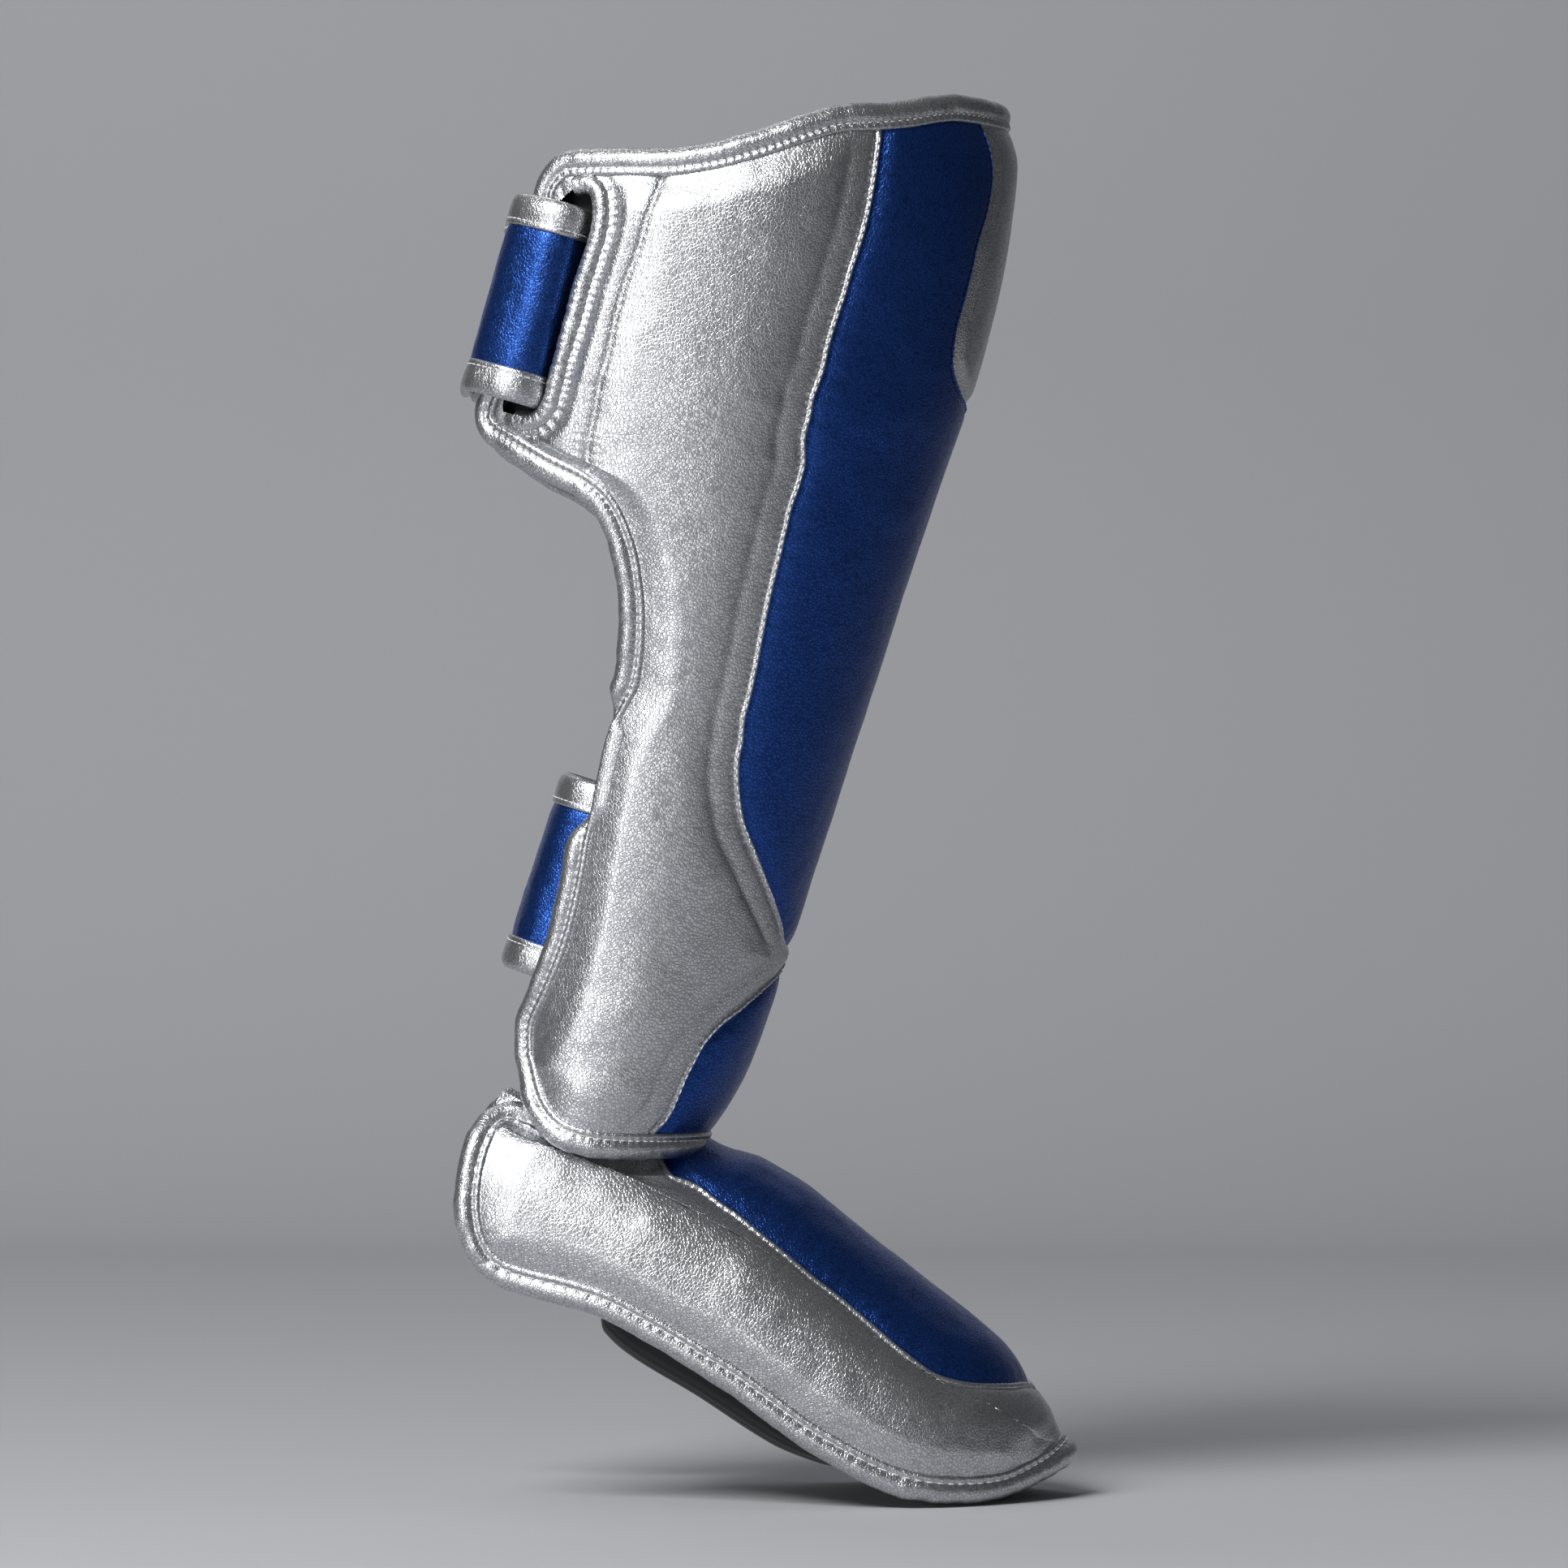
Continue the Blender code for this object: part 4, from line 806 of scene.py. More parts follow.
def slot_roll():
    run = np.arange(len(slot_middle)) * 0.4
    turn = np.linspace(0, 2 * math.pi, 29)[:-1]
    phase = run + 0.7 * ripple(np.stack([run, 0 * run, 0 * run], axis=-1) / 1000, 5.0, 21)
    gather = np.abs(np.sin(math.pi * phase / SLOT_GATHER_MM))[:, None] ** 0.7
    level = 0 * run[:, None]
    where = [run[:, None] + 0 * turn, 3 * np.cos(turn) + level, 3 * np.sin(turn) + level]
    wobble = ripple(np.stack(where, axis=-1) / 1000, 2.2, 22)
    swell = 0.95 + 0.06 * gather * (0.6 + 0.4 * np.cos(turn - 1.3)) + 0.07 * wobble
    profile = np.stack(
        [SLOT_ROLL_RADII_MM[0] * np.cos(turn) * swell, SLOT_ROLL_RADII_MM[1] * np.sin(turn) * swell], axis=-1
    )
    grid = swept(slot_middle, slot_normals, profile / 1000, False)
    faces = grid_faces(*grid.shape[:2], 0, False, True)
    return mesh_piece(
        "slot_binding_leather", grid.reshape(-1, 3), faces, silver_leather, "silver_leather", ["slot_binding"]
    )


slot_binding = slot_roll()

# The shin's front: one blue panel over the foam, from the ankle's point to the knee, which runs under the
# folded silver at its sides and is itself folded over the silver knee panel.
KNEE_SEAM = (
    (0.719, 0.468),
    (0.734, 0.458),
    (0.766, 0.443),
    (0.806, 0.455),
    (0.870, 0.484),
    (0.913, 0.506),
    (0.940, 0.514),
    (0.973, 0.509),
    (0.998, 0.493),
)
BLUE_SEAM_PROFILE = (
    (0.0, -1.35),
    (1.0, -1.15),
    (3.0, -0.5),
    (6.0, 0.15),
    (10.0, 0.5),
    (16.0, 0.6),
)
KNEE_LIP_PROFILE = (
    (0.0, -1.3),
    (0.15, -0.5),
    (0.4, 0.0),
    (0.8, 0.15),
    (1.3, -0.15),
    (1.7, -0.1),
    (3.0, 0.5),
    (6.0, 0.8),
    (12.0, 0.6),
)
KNEE_STITCH_MM = 1.4
TUCK = 0.0016

knee_seam, knee_tip = seam_of(KNEE_SEAM, True)
knee_rows = np.linspace(1, knee_tip, 150)
knee_edge = even(shin_point(knee_seam(knee_rows), knee_rows), 0.001)
blue_profile = smooth(*np.array(BLUE_SEAM_PROFILE).T)
knee_lip_profile = smooth(*np.array(KNEE_LIP_PROFILE).T)


def tuck_in_w(v):
    return TUCK / girth_of_v(v)


def blue_height(w, v):
    base = shin_point(w, v)
    away, along = nearest(base, silver_edge)
    under = np.abs(w) > front_seam(v)
    stand = np.where(under, -1.4, blue_profile(away))
    knee_away, knee_along = nearest(base, knee_edge)
    stand = np.where(v > knee_tip - 0.05, np.minimum(stand, knee_lip_profile(knee_away)), stand)
    pucker = 0.10 * np.cos(2 * math.pi * knee_along / STITCH_PITCH_MM)
    pucker = pucker * np.exp(-(((knee_away - 1.5) / 0.9) ** 2))
    edge = to_shin_edge(w, v)
    stand = stand - np.maximum(stand, 0) * (1 - ease(edge / 12)) - 0.4 * (1 - ease(edge / 4))
    waves = 0.26 * ripple(base, 25.0, 31) + 0.14 * ripple(base, 10.0, 32) + 0.05 * ripple(base, 4.0, 33)
    tugs = 0.18 * np.cos(2 * math.pi * along / 7.5 + 2 * ripple(base, 14.0, 34)) * np.exp(-away / 3.5)
    waves = waves * ease(np.minimum(away, knee_away) / 5)
    return (stand + waves + pucker + np.where(under, 0, tugs * ease(away / 1.5))) / 1000


def columns_with_edges(count, finest):
    """Shares from 0 to 1, closer together at both ends."""
    t = np.linspace(-1, 1, count)
    t = np.sign(t) * (1 - (1 - np.abs(t)) ** finest)
    return (t + 1) / 2


def panel_grid(left, right, v, share, height):
    v = v[:, None]
    w = left(v) + (right(v) - left(v)) * share
    v = v + 0 * w
    return shin_point(w, v, height(w, v))


def front_panel():
    share = columns_with_edges(80, 1.5)
    upper = panel_grid(
        lambda v: np.where(v <= knee_tip + 1e-9, 0, knee_seam(v)),
        lambda v: front_seam(v) + tuck_in_w(v),
        np.linspace(knee_tip, 1, 140),
        share,
        blue_height,
    )
    lower = panel_grid(
        lambda v: 0 * v,
        lambda v: front_seam(v) + tuck_in_w(v),
        np.linspace(front_tip, knee_tip, 230),
        share,
        blue_height,
    )
    grids = [(upper, True), (lower, True), (upper * FAR, False), (lower * FAR, False)]
    made = quad_piece("front_panel_leather", grids, blue_leather, "blue_leather", ["front_panel"])
    return made


front = front_panel()

# The knee panel: a silver tongue at the top of the shin's front, its edges under the blue. It is left plain.
def knee_height(w, v):
    base = shin_point(w, v)
    away, _ = nearest(base * np.where(w[..., None] < 0, FAR, 1), knee_edge)
    under = np.abs(w) > np.where(v > knee_tip, knee_seam(v), 0)
    stand = np.where(under, -1.35, -1.1 + 1.7 * ease(away / 7))
    edge = to_shin_edge(w, v)
    stand = stand - np.maximum(stand, 0) * (1 - ease(edge / 12)) - 0.4 * (1 - ease(edge / 4))
    return (stand + (0.2 * ripple(base, 18.0, 41) + 0.1 * ripple(base, 7.0, 42)) * ease(away / 5)) / 1000


def knee_panel():
    def half(v):
        return np.where(v > knee_tip, knee_seam(v), 0) + tuck_in_w(v)

    rows = np.linspace(knee_tip - TUCK / SHIN_HEIGHT, 1, 130)
    grid = panel_grid(lambda v: -half(v), half, rows, np.linspace(0, 1, 90), knee_height)
    made = quad_piece("knee_panel_leather", [(grid, True)], silver_leather, "silver_leather", ["knee_panel"])
    return made


knee = knee_panel()

# The ankle panel: a blue tongue at the bottom of the shin's front, under the folded silver. It is left plain.
def ankle_height(w, v):
    base = shin_point(w, v)
    away, along = nearest(base * np.where(w[..., None] < 0, FAR, 1), silver_edge)
    under = np.abs(w) > np.where(v < ankle_tip, ankle_seam(v), 0)
    edge = to_shin_edge(w, v)
    stand = np.where(under, -1.4, blue_profile(away))
    stand = stand - np.maximum(stand, 0) * (1 - ease(edge / 12)) - 0.4 * (1 - ease(edge / 4))
    waves = 0.3 * ripple(base, 16.0, 51) + 0.16 * ripple(base, 7.0, 52)
    tugs = 0.18 * np.cos(2 * math.pi * along / 7.5 + 2 * ripple(base, 14.0, 53)) * np.exp(-away / 3.5)
    return (stand + (waves + np.where(under, 0, tugs)) * ease(away / 4)) / 1000


def ankle_panel():
    def half(v):
        return np.where(v < ankle_tip, ankle_seam(v), 0) + tuck_in_w(v)

    rows = np.linspace(0, ankle_tip + TUCK / SHIN_HEIGHT, 110)
    grid = panel_grid(lambda v: -half(v), half, rows, np.linspace(0, 1, 150), ankle_height)
    made = quad_piece("ankle_panel_leather", [(grid, True)], blue_leather, "blue_leather", ["ankle_panel"])
    return made


ankle = ankle_panel()

# Seam stitching: thread sunk into the folded silver beside the blue, along the wing and, in blue thread,
# along the knee panel.
def shifted(line, outwards, mm):
    """The line moved sideways over the surface by mm, to the left of its run as seen from outside."""
    sideways = unit(np.cross(outwards, np.gradient(line, axis=0)))
    return line + sideways * mm / 1000


def normals_near(guide, line):
    tree = surface_of(guide)
    return np.array([tree.find_nearest(Vector(p))[1] for p in line])


def seam_stitching():
    stitched = shifted(silver_edge, normals_near(side_panel_right, silver_edge), -STITCH_LINE_MM)
    stitched = stitched[3:-3]
    stitches("seam_stitches_right", side_panel_right, stitched)
    stitches("seam_stitches_left", side_panel_left, stitched * FAR)
    wing = wing_line_on_shin[2:-1]
    stitches("wing_stitches_right", side_panel_right, wing)
    stitches("wing_stitches_left", side_panel_left, wing * FAR)
    slot_row = shifted(slot_on_shin, normals_near(side_panel_right, slot_on_shin), SLOT_STITCH_MM)
    stitches("slot_stitches", side_panel_right, slot_row[4:-4], size=SLOT_STITCH_SIZE)
    knee_line = shifted(knee_edge, normals_near(front, knee_edge), KNEE_STITCH_MM * -1)
    stitches("knee_stitches_right", front, knee_line[3:], look=blue_thread, slot="blue_leather")
    stitches("knee_stitches_left", front, (knee_line * FAR)[3:], look=blue_thread, slot="blue_leather")


seam_stitching()

# The edge binding: a strip of silver leather folded over the shell's edge into a soft roll, sewn through just
# inside it. The section goes from under its sewn edge, over the roll and back inside.
# Columns: mm outwards from the panel's edge, mm up from its surface.
BINDING_SECTION = (
    (-1.0, -1.3),
    (-0.9, 0.0),
    (-0.3, 0.55),
    (0.5, 0.65),
    (1.3, 0.35),
    (1.9, 0.35),
    (2.6, 0.75),
    (3.6, 1.25),
    (5.0, 1.35),
    (6.4, 0.9),
    (7.7, -0.2),
    (8.5, -1.7),
    (8.8, -3.2),
    (8.5, -4.8),
    (7.4, -6.3),
    (5.6, -7.0),
    (3.4, -6.8),
    (1.2, -6.3),
    (0.0, -5.9),
    (-0.6, -5.2),
)
BINDING_STITCH_MM = 1.6
# Heights between which the rim's binding turns in behind the wing: where the turn starts and is full.
TURN_TOP = (0.030, 0.018)
TURN_BASE = (-0.006, -0.022)
TURN_DEGREES = 95.0


def softened(values, reach, closed):
    """A running average over a bell-shaped window, reach samples wide each way."""
    window = np.exp(-np.linspace(-2, 2, 2 * reach + 1) ** 2 / 2)
    window /= window.sum()
    if closed:
        padded = np.concatenate([values[-reach:], values, values[:reach]])
    else:
        first = 2 * values[:1] - values[reach:0:-1]
        last = 2 * values[-1:] - values[-2 : -reach - 2 : -1]
        padded = np.concatenate([first, values, last])
    return np.stack([np.convolve(padded[:, k], window, "valid") for k in range(values.shape[1])], axis=1)


def edge_frame(points, normals, closed, inside, reach):
    """Evenly spaced places on a shell's edge with their directions out of the panel and up from it."""
    both = even(np.concatenate([points, normals], axis=1) * [1, 1, 1, 1e-4, 1e-4, 1e-4], 0.0006)
    if closed:
        both = both[:-1]
    line = softened(both[:, :3], reach, closed)
    ups = unit(softened(both[:, 3:], 8, closed))
    ahead = np.roll(line, -1, axis=0) - np.roll(line, 1, axis=0) if closed else np.gradient(line, axis=0)
    out = unit(np.cross(unit(ahead), ups)) * inside
    out = unit(softened(out, 9, closed))
    return line, out, unit(ups - np.sum(ups * out, axis=1, keepdims=True) * out)


def binding_grid(line, out, ups, seed, pitch_mm):
    """The section carried along the edge. The roll swells and wrinkles: radius * (1 + folds across its run),
    and the sewn strip dips at each stitch."""
    section = np.array(BINDING_SECTION)
    fine = rounded(section, 1)
    run = np.arange(len(line)) * 0.6
    middle = np.array([4.6, -2.9])
    spread = fine - middle
    around = np.arctan2(spread[:, 1], spread[:, 0])
    level = 0 * run[:, None]
    where = [run[:, None] + 0 * around, 5 * np.cos(around) + level, 5 * np.sin(around) + level]
    where = np.stack(where, axis=-1)
    folds = ripple(where / 1000 * [1.0, 0.35, 0.35], 2.3, seed) * 0.5
    folds = folds + ripple(where / 1000 * [1.0, 0.3, 0.3], 4.6, seed + 1)
    turn = np.linalg.norm(np.gradient(unit(np.gradient(line, axis=0)), axis=0), axis=1) / 0.6
    hug = 1 + 2.2 * ease(turn / 0.06)
    hug = softened(hug[:, None], 12, False)[:, 0]
    roll_share = ease((fine[:, 0] - 1.5) / 2.5)
    swell = 1 + 0.042 * folds * hug[:, None] * roll_share
    swell = swell + 0.03 * ripple(where / 1000, 14.0, seed + 2) * roll_share
    placed = middle + spread * swell[..., None]
    strip = np.exp(-(((fine[:, 0] - BINDING_STITCH_MM) / 0.8) ** 2)) * (fine[:, 1] > -0.5)
    held = np.exp(-(((fine[:, 0] - 1.4) / 1.6) ** 2)) * (fine[:, 1] > -0.8)
    puckers = 0.16 * np.cos(2 * math.pi * run / pitch_mm)[:, None] * held
    placed[..., 1] += -0.12 * strip + puckers
    return line[:, None] + placed[..., :1] / 1000 * out[:, None] + placed[..., 1:] / 1000 * ups[:, None]


def shin_edge(count=700):
    """w and v round the shell's edge: up the near rim, over the top, down the far rim and back below."""
    share = np.linspace(0, 1, count, endpoint=False)
    w = np.concatenate([0 * share + 1, 1 - 2 * share, 0 * share - 1, 2 * share - 1])
    v = np.concatenate([share, 0 * share + 1, 1 - share, 0 * share])
    return w, v


def rolled_back(line, out, ups):
    """Behind the waist of the wing the binding turns inwards, so that the padded leather rolls over it."""
    rear = line[:, 0] < -0.01
    z = line[:, 2]
    share = ease((TURN_TOP[0] - z) / (TURN_TOP[0] - TURN_TOP[1]))
    share = share * ease((z - TURN_BASE[1]) / (TURN_BASE[0] - TURN_BASE[1]))
    angle = (math.radians(TURN_DEGREES) * share * rear)[:, None]
    return np.cos(angle) * out - np.sin(angle) * ups, np.sin(angle) * out + np.cos(angle) * ups


def closed_binding():
    w, v = shin_edge()
    w = np.append(w, w[0])
    v = np.append(v, v[0])
    line, out, ups = edge_frame(shin_point(w, v), shin_normal(w, v), True, -1, 4)
    out, ups = rolled_back(line, out, ups)
    grid = binding_grid(line, out, ups, 61, STITCH_PITCH_MM)
    grid = np.concatenate([grid, grid[:1]])
    faces = grid_faces(*grid.shape[:2], 0, True, True)
    points = grid.reshape(-1, 3)
    look, slot = silver_leather, "silver_leather"
    made = mesh_piece("shin_binding_leather", points, faces, look, slot, ["shin_binding"])
    sewn = line + out * BINDING_STITCH_MM / 1000 + ups * 0.0006
    stitches("shin_binding_stitches", made, sewn, size=RIM_STITCH_SIZE)
    return line, out, ups


rim_line, rim_out, rim_up = closed_binding()

# The shin's lining: black brushed fabric over the foam's inner face.
SHIN_FRONT_WALL = 0.020
SHIN_FLANK_WALL = 0.012
TAPER_RUN = 0.040


def fabric(name, colour, rib_mm, rib_depth_mm, roughness):
    """Matt knitted fabric. Ribs run along the piece's own V direction, their hollows darkened as painted
    shade.
    """
    made, tree, shader = start_material(name)
    place = add(tree, "ShaderNodeTexCoord")
    wave = add(
        tree,
        "ShaderNodeTexWave",
        {"Vector": place.outputs["UV"], "Scale": 1000 / rib_mm / 20, "Distortion": 0.6, "Detail": 2.0},
    )
    hairs = {"Vector": place.outputs["Object"], "Scale": 2200.0, "Detail": 3.0}
    fuzz = add(tree, "ShaderNodeTexNoise", hairs)
    both = {0: fuzz.outputs["Fac"], 1: 0.5, 2: wave.outputs["Fac"]}
    mixed = add(tree, "ShaderNodeMath", both, operation="MULTIPLY_ADD").outputs[0]
    raised = {"Height": mixed, "Strength": 1.0, "Distance": rib_depth_mm / 1000}
    bump = add(tree, "ShaderNodeBump", raised)
    tree.links.new(bump.outputs["Normal"], shader.inputs["Normal"])
    # Painted shade: the colour falls to 0.6 of itself in the rib and fuzz hollows and rises to 1.2 on their
    # crowns.
    rib_shade_scale = add(tree, "ShaderNodeMapRange", {"Value": mixed, "From Max": 1.4, "To Min": 0.6, "To Max": 1.2})
    shaded = {0: linear(colour)[:3], "Scale": rib_shade_scale.outputs["Result"]}
    shade_painted_colour = add(tree, "ShaderNodeVectorMath", shaded, operation="SCALE")
    tree.links.new(shade_painted_colour.outputs[0], shader.inputs["Base Color"])
    shader.inputs["Roughness"].default_value = roughness
    shader.inputs["Sheen Weight"].default_value = 0.1
    return made


black_lining = fabric("black_brushed_lining", "#101114", 0.8, 0.12, 0.9)


def set_uv(piece, rows, columns, across, along):
    """UV in metres for a grid piece: across for each column and along for each row."""
    layer = piece.data.uv_layers.new(name="cloth")
    spot = np.stack([np.tile(across, rows), np.repeat(along, columns)], axis=1)
    corners = np.empty(len(piece.data.loops), np.int32)
    piece.data.loops.foreach_get("vertex_index", corners)
    layer.data.foreach_set("uv", spot[corners].reshape(-1).astype(np.float32))


def shin_wall(w, v):
    full = SHIN_FLANK_WALL + (SHIN_FRONT_WALL - SHIN_FLANK_WALL) * (1 - ease(np.abs(w) / 0.6))
    return RIM_WALL + (full - RIM_WALL) * ease(to_shin_edge(w, v) / 1000 / TAPER_RUN)


def shin_lining():
    v = np.linspace(0, 1, 200)[:, None]
    w = np.linspace(-1, 1, 181) + 0 * v
    v = v + 0 * w
    puff = 0.0004 * ripple(shin_point(w, v), 16.0, 71)
    grid = shin_point(w, v, puff - shin_wall(w, v))
    faces = grid_faces(*grid.shape[:2], 0, False)
    points = grid.reshape(-1, 3)
    made = mesh_piece("shin_lining_cloth", points, faces, black_lining, "black_lining", ["shin_lining"])
    set_uv(made, 200, 181, np.linspace(-0.2, 0.2, 181), np.linspace(0, 0.34, 200))


shin_lining()

# The instep: a half-shell over the foot, of silver leather at the sides and toe with a blue tongue over the
# top, padded and stitched as the shin is.
FOOT_LENGTH = 0.2118
FOOT_HALF_WIDTH = 0.060
FOOT_ARCH = 0.053
FOOT_SLOPE = math.radians(37.0)
FOOT_START = (-0.0624, -0.1165)
INSTEP_WALL = 0.012
# Columns: along, a share of FOOT_LENGTH from the start; top, the crown's height above the sloping line, a
# share of FOOT_ARCH; width, a share of FOOT_HALF_WIDTH.
FOOT_SECTIONS = (
    (-0.06, 0.48, 0.66),
    (0.06, 0.55, 0.77),
    (0.19, 0.64, 0.85),
    (0.28, 0.70, 0.895),
    (0.36, 0.75, 0.925),
    (0.43, 0.775, 0.95),
    (0.57, 0.755, 0.98),
    (0.70, 0.745, 1.00),
    (0.83, 0.718, 0.98),
    (0.90, 0.650, 0.88),
    (0.96, 0.535, 0.74),
    (1.00, 0.500, 0.55),
)
# Lines as they are seen from the side. Columns: along, a share of FOOT_LENGTH; above the sloping line, a
# share of FOOT_ARCH.
FOOT_REAR_EDGE = (
    (0.285, 0.750),
    (0.280, 0.600),
    (0.255, 0.455),
    (0.208, 0.290),
    (0.142, 0.140),
    (0.092, 0.080),
    (0.032, 0.010),
    (-0.020, -0.020),
    (-0.033, -0.120),
    (-0.025, -0.236),
    (-0.003, -0.425),
    (0.015, -0.533),
    (0.045, -0.650),
    (0.077, -0.730),
)
FOOT_RIM = (
    (0.077, -0.730),
    (0.100, -0.733),
    (0.131, -0.692),
    (0.203, -0.564),
    (0.280, -0.461),
    (0.337, -0.425),
    (0.426, -0.385),
    (0.515, -0.354),
    (0.581, -0.354),
    (0.644, -0.351),
    (0.703, -0.323),
    (0.760, -0.287),
    (0.813, -0.226),
    (0.881, -0.072),
    (0.940, 0.123),
    (0.976, 0.359),
)
TOE_REACH = 0.987
FOOT_SEAM = (
    (0.197, 0.349),
    (0.262, 0.408),
    (0.337, 0.426),
    (0.435, 0.420),
    (0.567, 0.400),
    (0.667, 0.379),
    (0.733, 0.369),
    (0.758, 0.369),
    (0.789, 0.415),
    (0.852, 0.590),
    (0.890, 0.665),
)
INSTEP_SEAM_PROFILE = (
    (0.0, -1.5),
    (0.15, -0.75),
    (0.45, -0.2),
    (1.0, 0.05),
    (1.7, -0.05),
    (2.3, -0.45),
    (2.7, -0.45),
    (3.6, 0.1),
    (6.0, 0.8),
    (10.0, 1.6),
    (16.0, 2.3),
    (24.0, 2.5),
)
TOE_STITCH_PITCH_MM = 4.0
TOE_STITCH_SIZE = (0.62, 0.44, 0.06)
# Where the binding's ends turn in under the shin: the places round the arch where the turn starts and ends.
HEEL_TURN = (0.64, 0.52)
HEEL_TURN_IN = 0.009
HEEL_TURN_UP = 0.006
# How far the leather goes on inside the shin from the instep's upper edge.
LAP_IN = 0.012
LAP_UP = 0.011

alongs, crowns, spreads = np.array(FOOT_SECTIONS).T
foot_crown = smooth(alongs * FOOT_LENGTH, crowns * FOOT_ARCH)
foot_spread = smooth(alongs * FOOT_LENGTH, spreads * FOOT_HALF_WIDTH)


def seen_on_foot(table):
    """Angle round the arch and distance along the foot of each row of a side-view line."""
    share = np.array(table)
    s = share[:, 0] * FOOT_LENGTH
    return np.arccos(np.clip(1 - (foot_crown(s) - share[:, 1] * FOOT_ARCH) / FOOT_ARCH, -1, 1)), s


edge_angle, edge_s = seen_on_foot(FOOT_REAR_EDGE)
start_of_w = smooth(edge_angle / edge_angle[-1], edge_s)
foot_rim_angle, foot_rim_s = seen_on_foot(FOOT_RIM)
foot_rim_angle[0] = edge_angle[-1]
foot_rim = smooth((foot_rim_s - foot_rim_s[0]) / (foot_rim_s[-1] - foot_rim_s[0]), foot_rim_angle)


def foot_arch(along, angle):
    """Arches square to a sloping line: rise = crown - arch * (1 - cos angle), y = -spread * sin angle."""
    rise = foot_crown(along) - FOOT_ARCH * (1 - np.cos(angle))
    x = FOOT_START[0] + along * math.cos(FOOT_SLOPE) + rise * math.sin(FOOT_SLOPE)
    z = FOOT_START[1] - along * math.sin(FOOT_SLOPE) + rise * math.cos(FOOT_SLOPE)
    return np.stack([x, -foot_spread(along) * np.sin(angle), z], axis=-1)


def foot_place(w, u):
    side = np.abs(w)
    start = start_of_w(side)
    end = TOE_REACH * FOOT_LENGTH + (foot_rim_s[-1] - TOE_REACH * FOOT_LENGTH) * side**2
    return start + u * (end - start), w * foot_rim(u)


def foot_normal(w, u):
    along, angle = foot_place(w, u)
    return outward(foot_arch, along, angle, 0.002, -1.0)


def foot_point(w, u, height=0.0):
    w = np.asarray(w, float)
    u = np.asarray(u, float) + 0 * w
    w = w + 0 * u
    return foot_arch(*foot_place(w, u)) + foot_normal(w, u) * np.asarray(height + 0 * w)[..., None]


seam_angle, seam_s = seen_on_foot(FOOT_SEAM)
seam_angle[-1] = 0.0
seam_start = start_of_w(seam_angle / foot_rim(0.0))
seam_u = np.clip((seam_s - seam_start) / (foot_rim_s[-1] - seam_start), 0, 1)
instep_seam = smooth(seam_u, seam_angle / foot_rim(seam_u))
instep_tip = seam_u[-1]
instep_rows = np.linspace(0, instep_tip, 300)
instep_edge = even(foot_point(instep_seam(instep_rows), instep_rows), 0.001)
instep_profile = smooth(*np.array(INSTEP_SEAM_PROFILE).T)


def to_foot_edge(w, u):
    around = FOOT_HALF_WIDTH * foot_rim(u)
    return np.minimum((1 - np.abs(w)) * around, np.minimum(u, 1 - u) * FOOT_LENGTH * 0.8) * 1000


def foot_seam_tuck(u):
    return TUCK / (FOOT_HALF_WIDTH * foot_rim(u))


def instep_silver_height(w, u):
    base = foot_point(w, u)
    away, along = nearest(base * np.where(w[..., None] < 0, FAR, 1), instep_edge)
    edge = to_foot_edge(w, u)
    stand = instep_profile(away)
    stand = stand - np.maximum(stand, 0) * (1 - ease(edge / 13)) - 0.4 * (1 - ease(edge / 4))
    pucker = 0.13 * np.cos(2 * math.pi * along / STITCH_PITCH_MM) * np.exp(-(((away - 2.6) / 1.3) ** 2))
    waves = 0.34 * ripple(base, 19.0, 81) + 0.20 * ripple(base, 8.0, 82) + 0.06 * ripple(base, 3.5, 83)
    gathers = 0.2 * ripple(base * [0.6, 1.0, 1.0], 4.5, 84) * np.exp(-edge / 6.0)
    return (stand + pucker + (waves + gathers) * ease(away / 4)) / 1000


def instep_blue_height(w, u):
    base = foot_point(w, u)
    away, along = nearest(base * np.where(w[..., None] < 0, FAR, 1), instep_edge)
    under = np.abs(w) > np.where(u < instep_tip, instep_seam(u), 0)
    edge = to_foot_edge(w, u)
    stand = np.where(under, -1.4, blue_profile(away) + 1.0 * ease((away - 4) / 14))
    stand = stand - np.maximum(stand, 0) * (1 - ease(edge / 12)) - 0.4 * (1 - ease(edge / 4))
    waves = 0.34 * ripple(base, 17.0, 91) + 0.2 * ripple(base, 7.0, 92)
    tugs = 0.2 * np.cos(2 * math.pi * along / 7.0 + 2 * ripple(base, 14.0, 93)) * np.exp(-away / 3.5)
    return (stand + (waves + np.where(under, 0, tugs)) * ease(away / 4)) / 1000


def lapped(w, grid):
    """The grid with more rows before it, which carry the leather up inside the shin: each point moves in by
    LAP_IN * ease(t) and up by LAP_UP * t ** 2, t from 0 to 1, except behind the ankle, where it stays."""
    t = np.linspace(1, 0, 12, endpoint=False)[:, None, None]
    start = grid[0]
    away = unit(foot_normal(w, np.zeros(len(w))) * [1.0, 1.0, 0.0])
    share = (1 - ease((np.abs(w) - 0.62) / 0.08))[:, None]
    rows = start - away * share * LAP_IN * ease(t) + np.array([0.0, 0.0, 1.0]) * share * LAP_UP * t**2
    rows = rows - away * (1 - share) * 0.004 * t
    return np.concatenate([rows, grid])


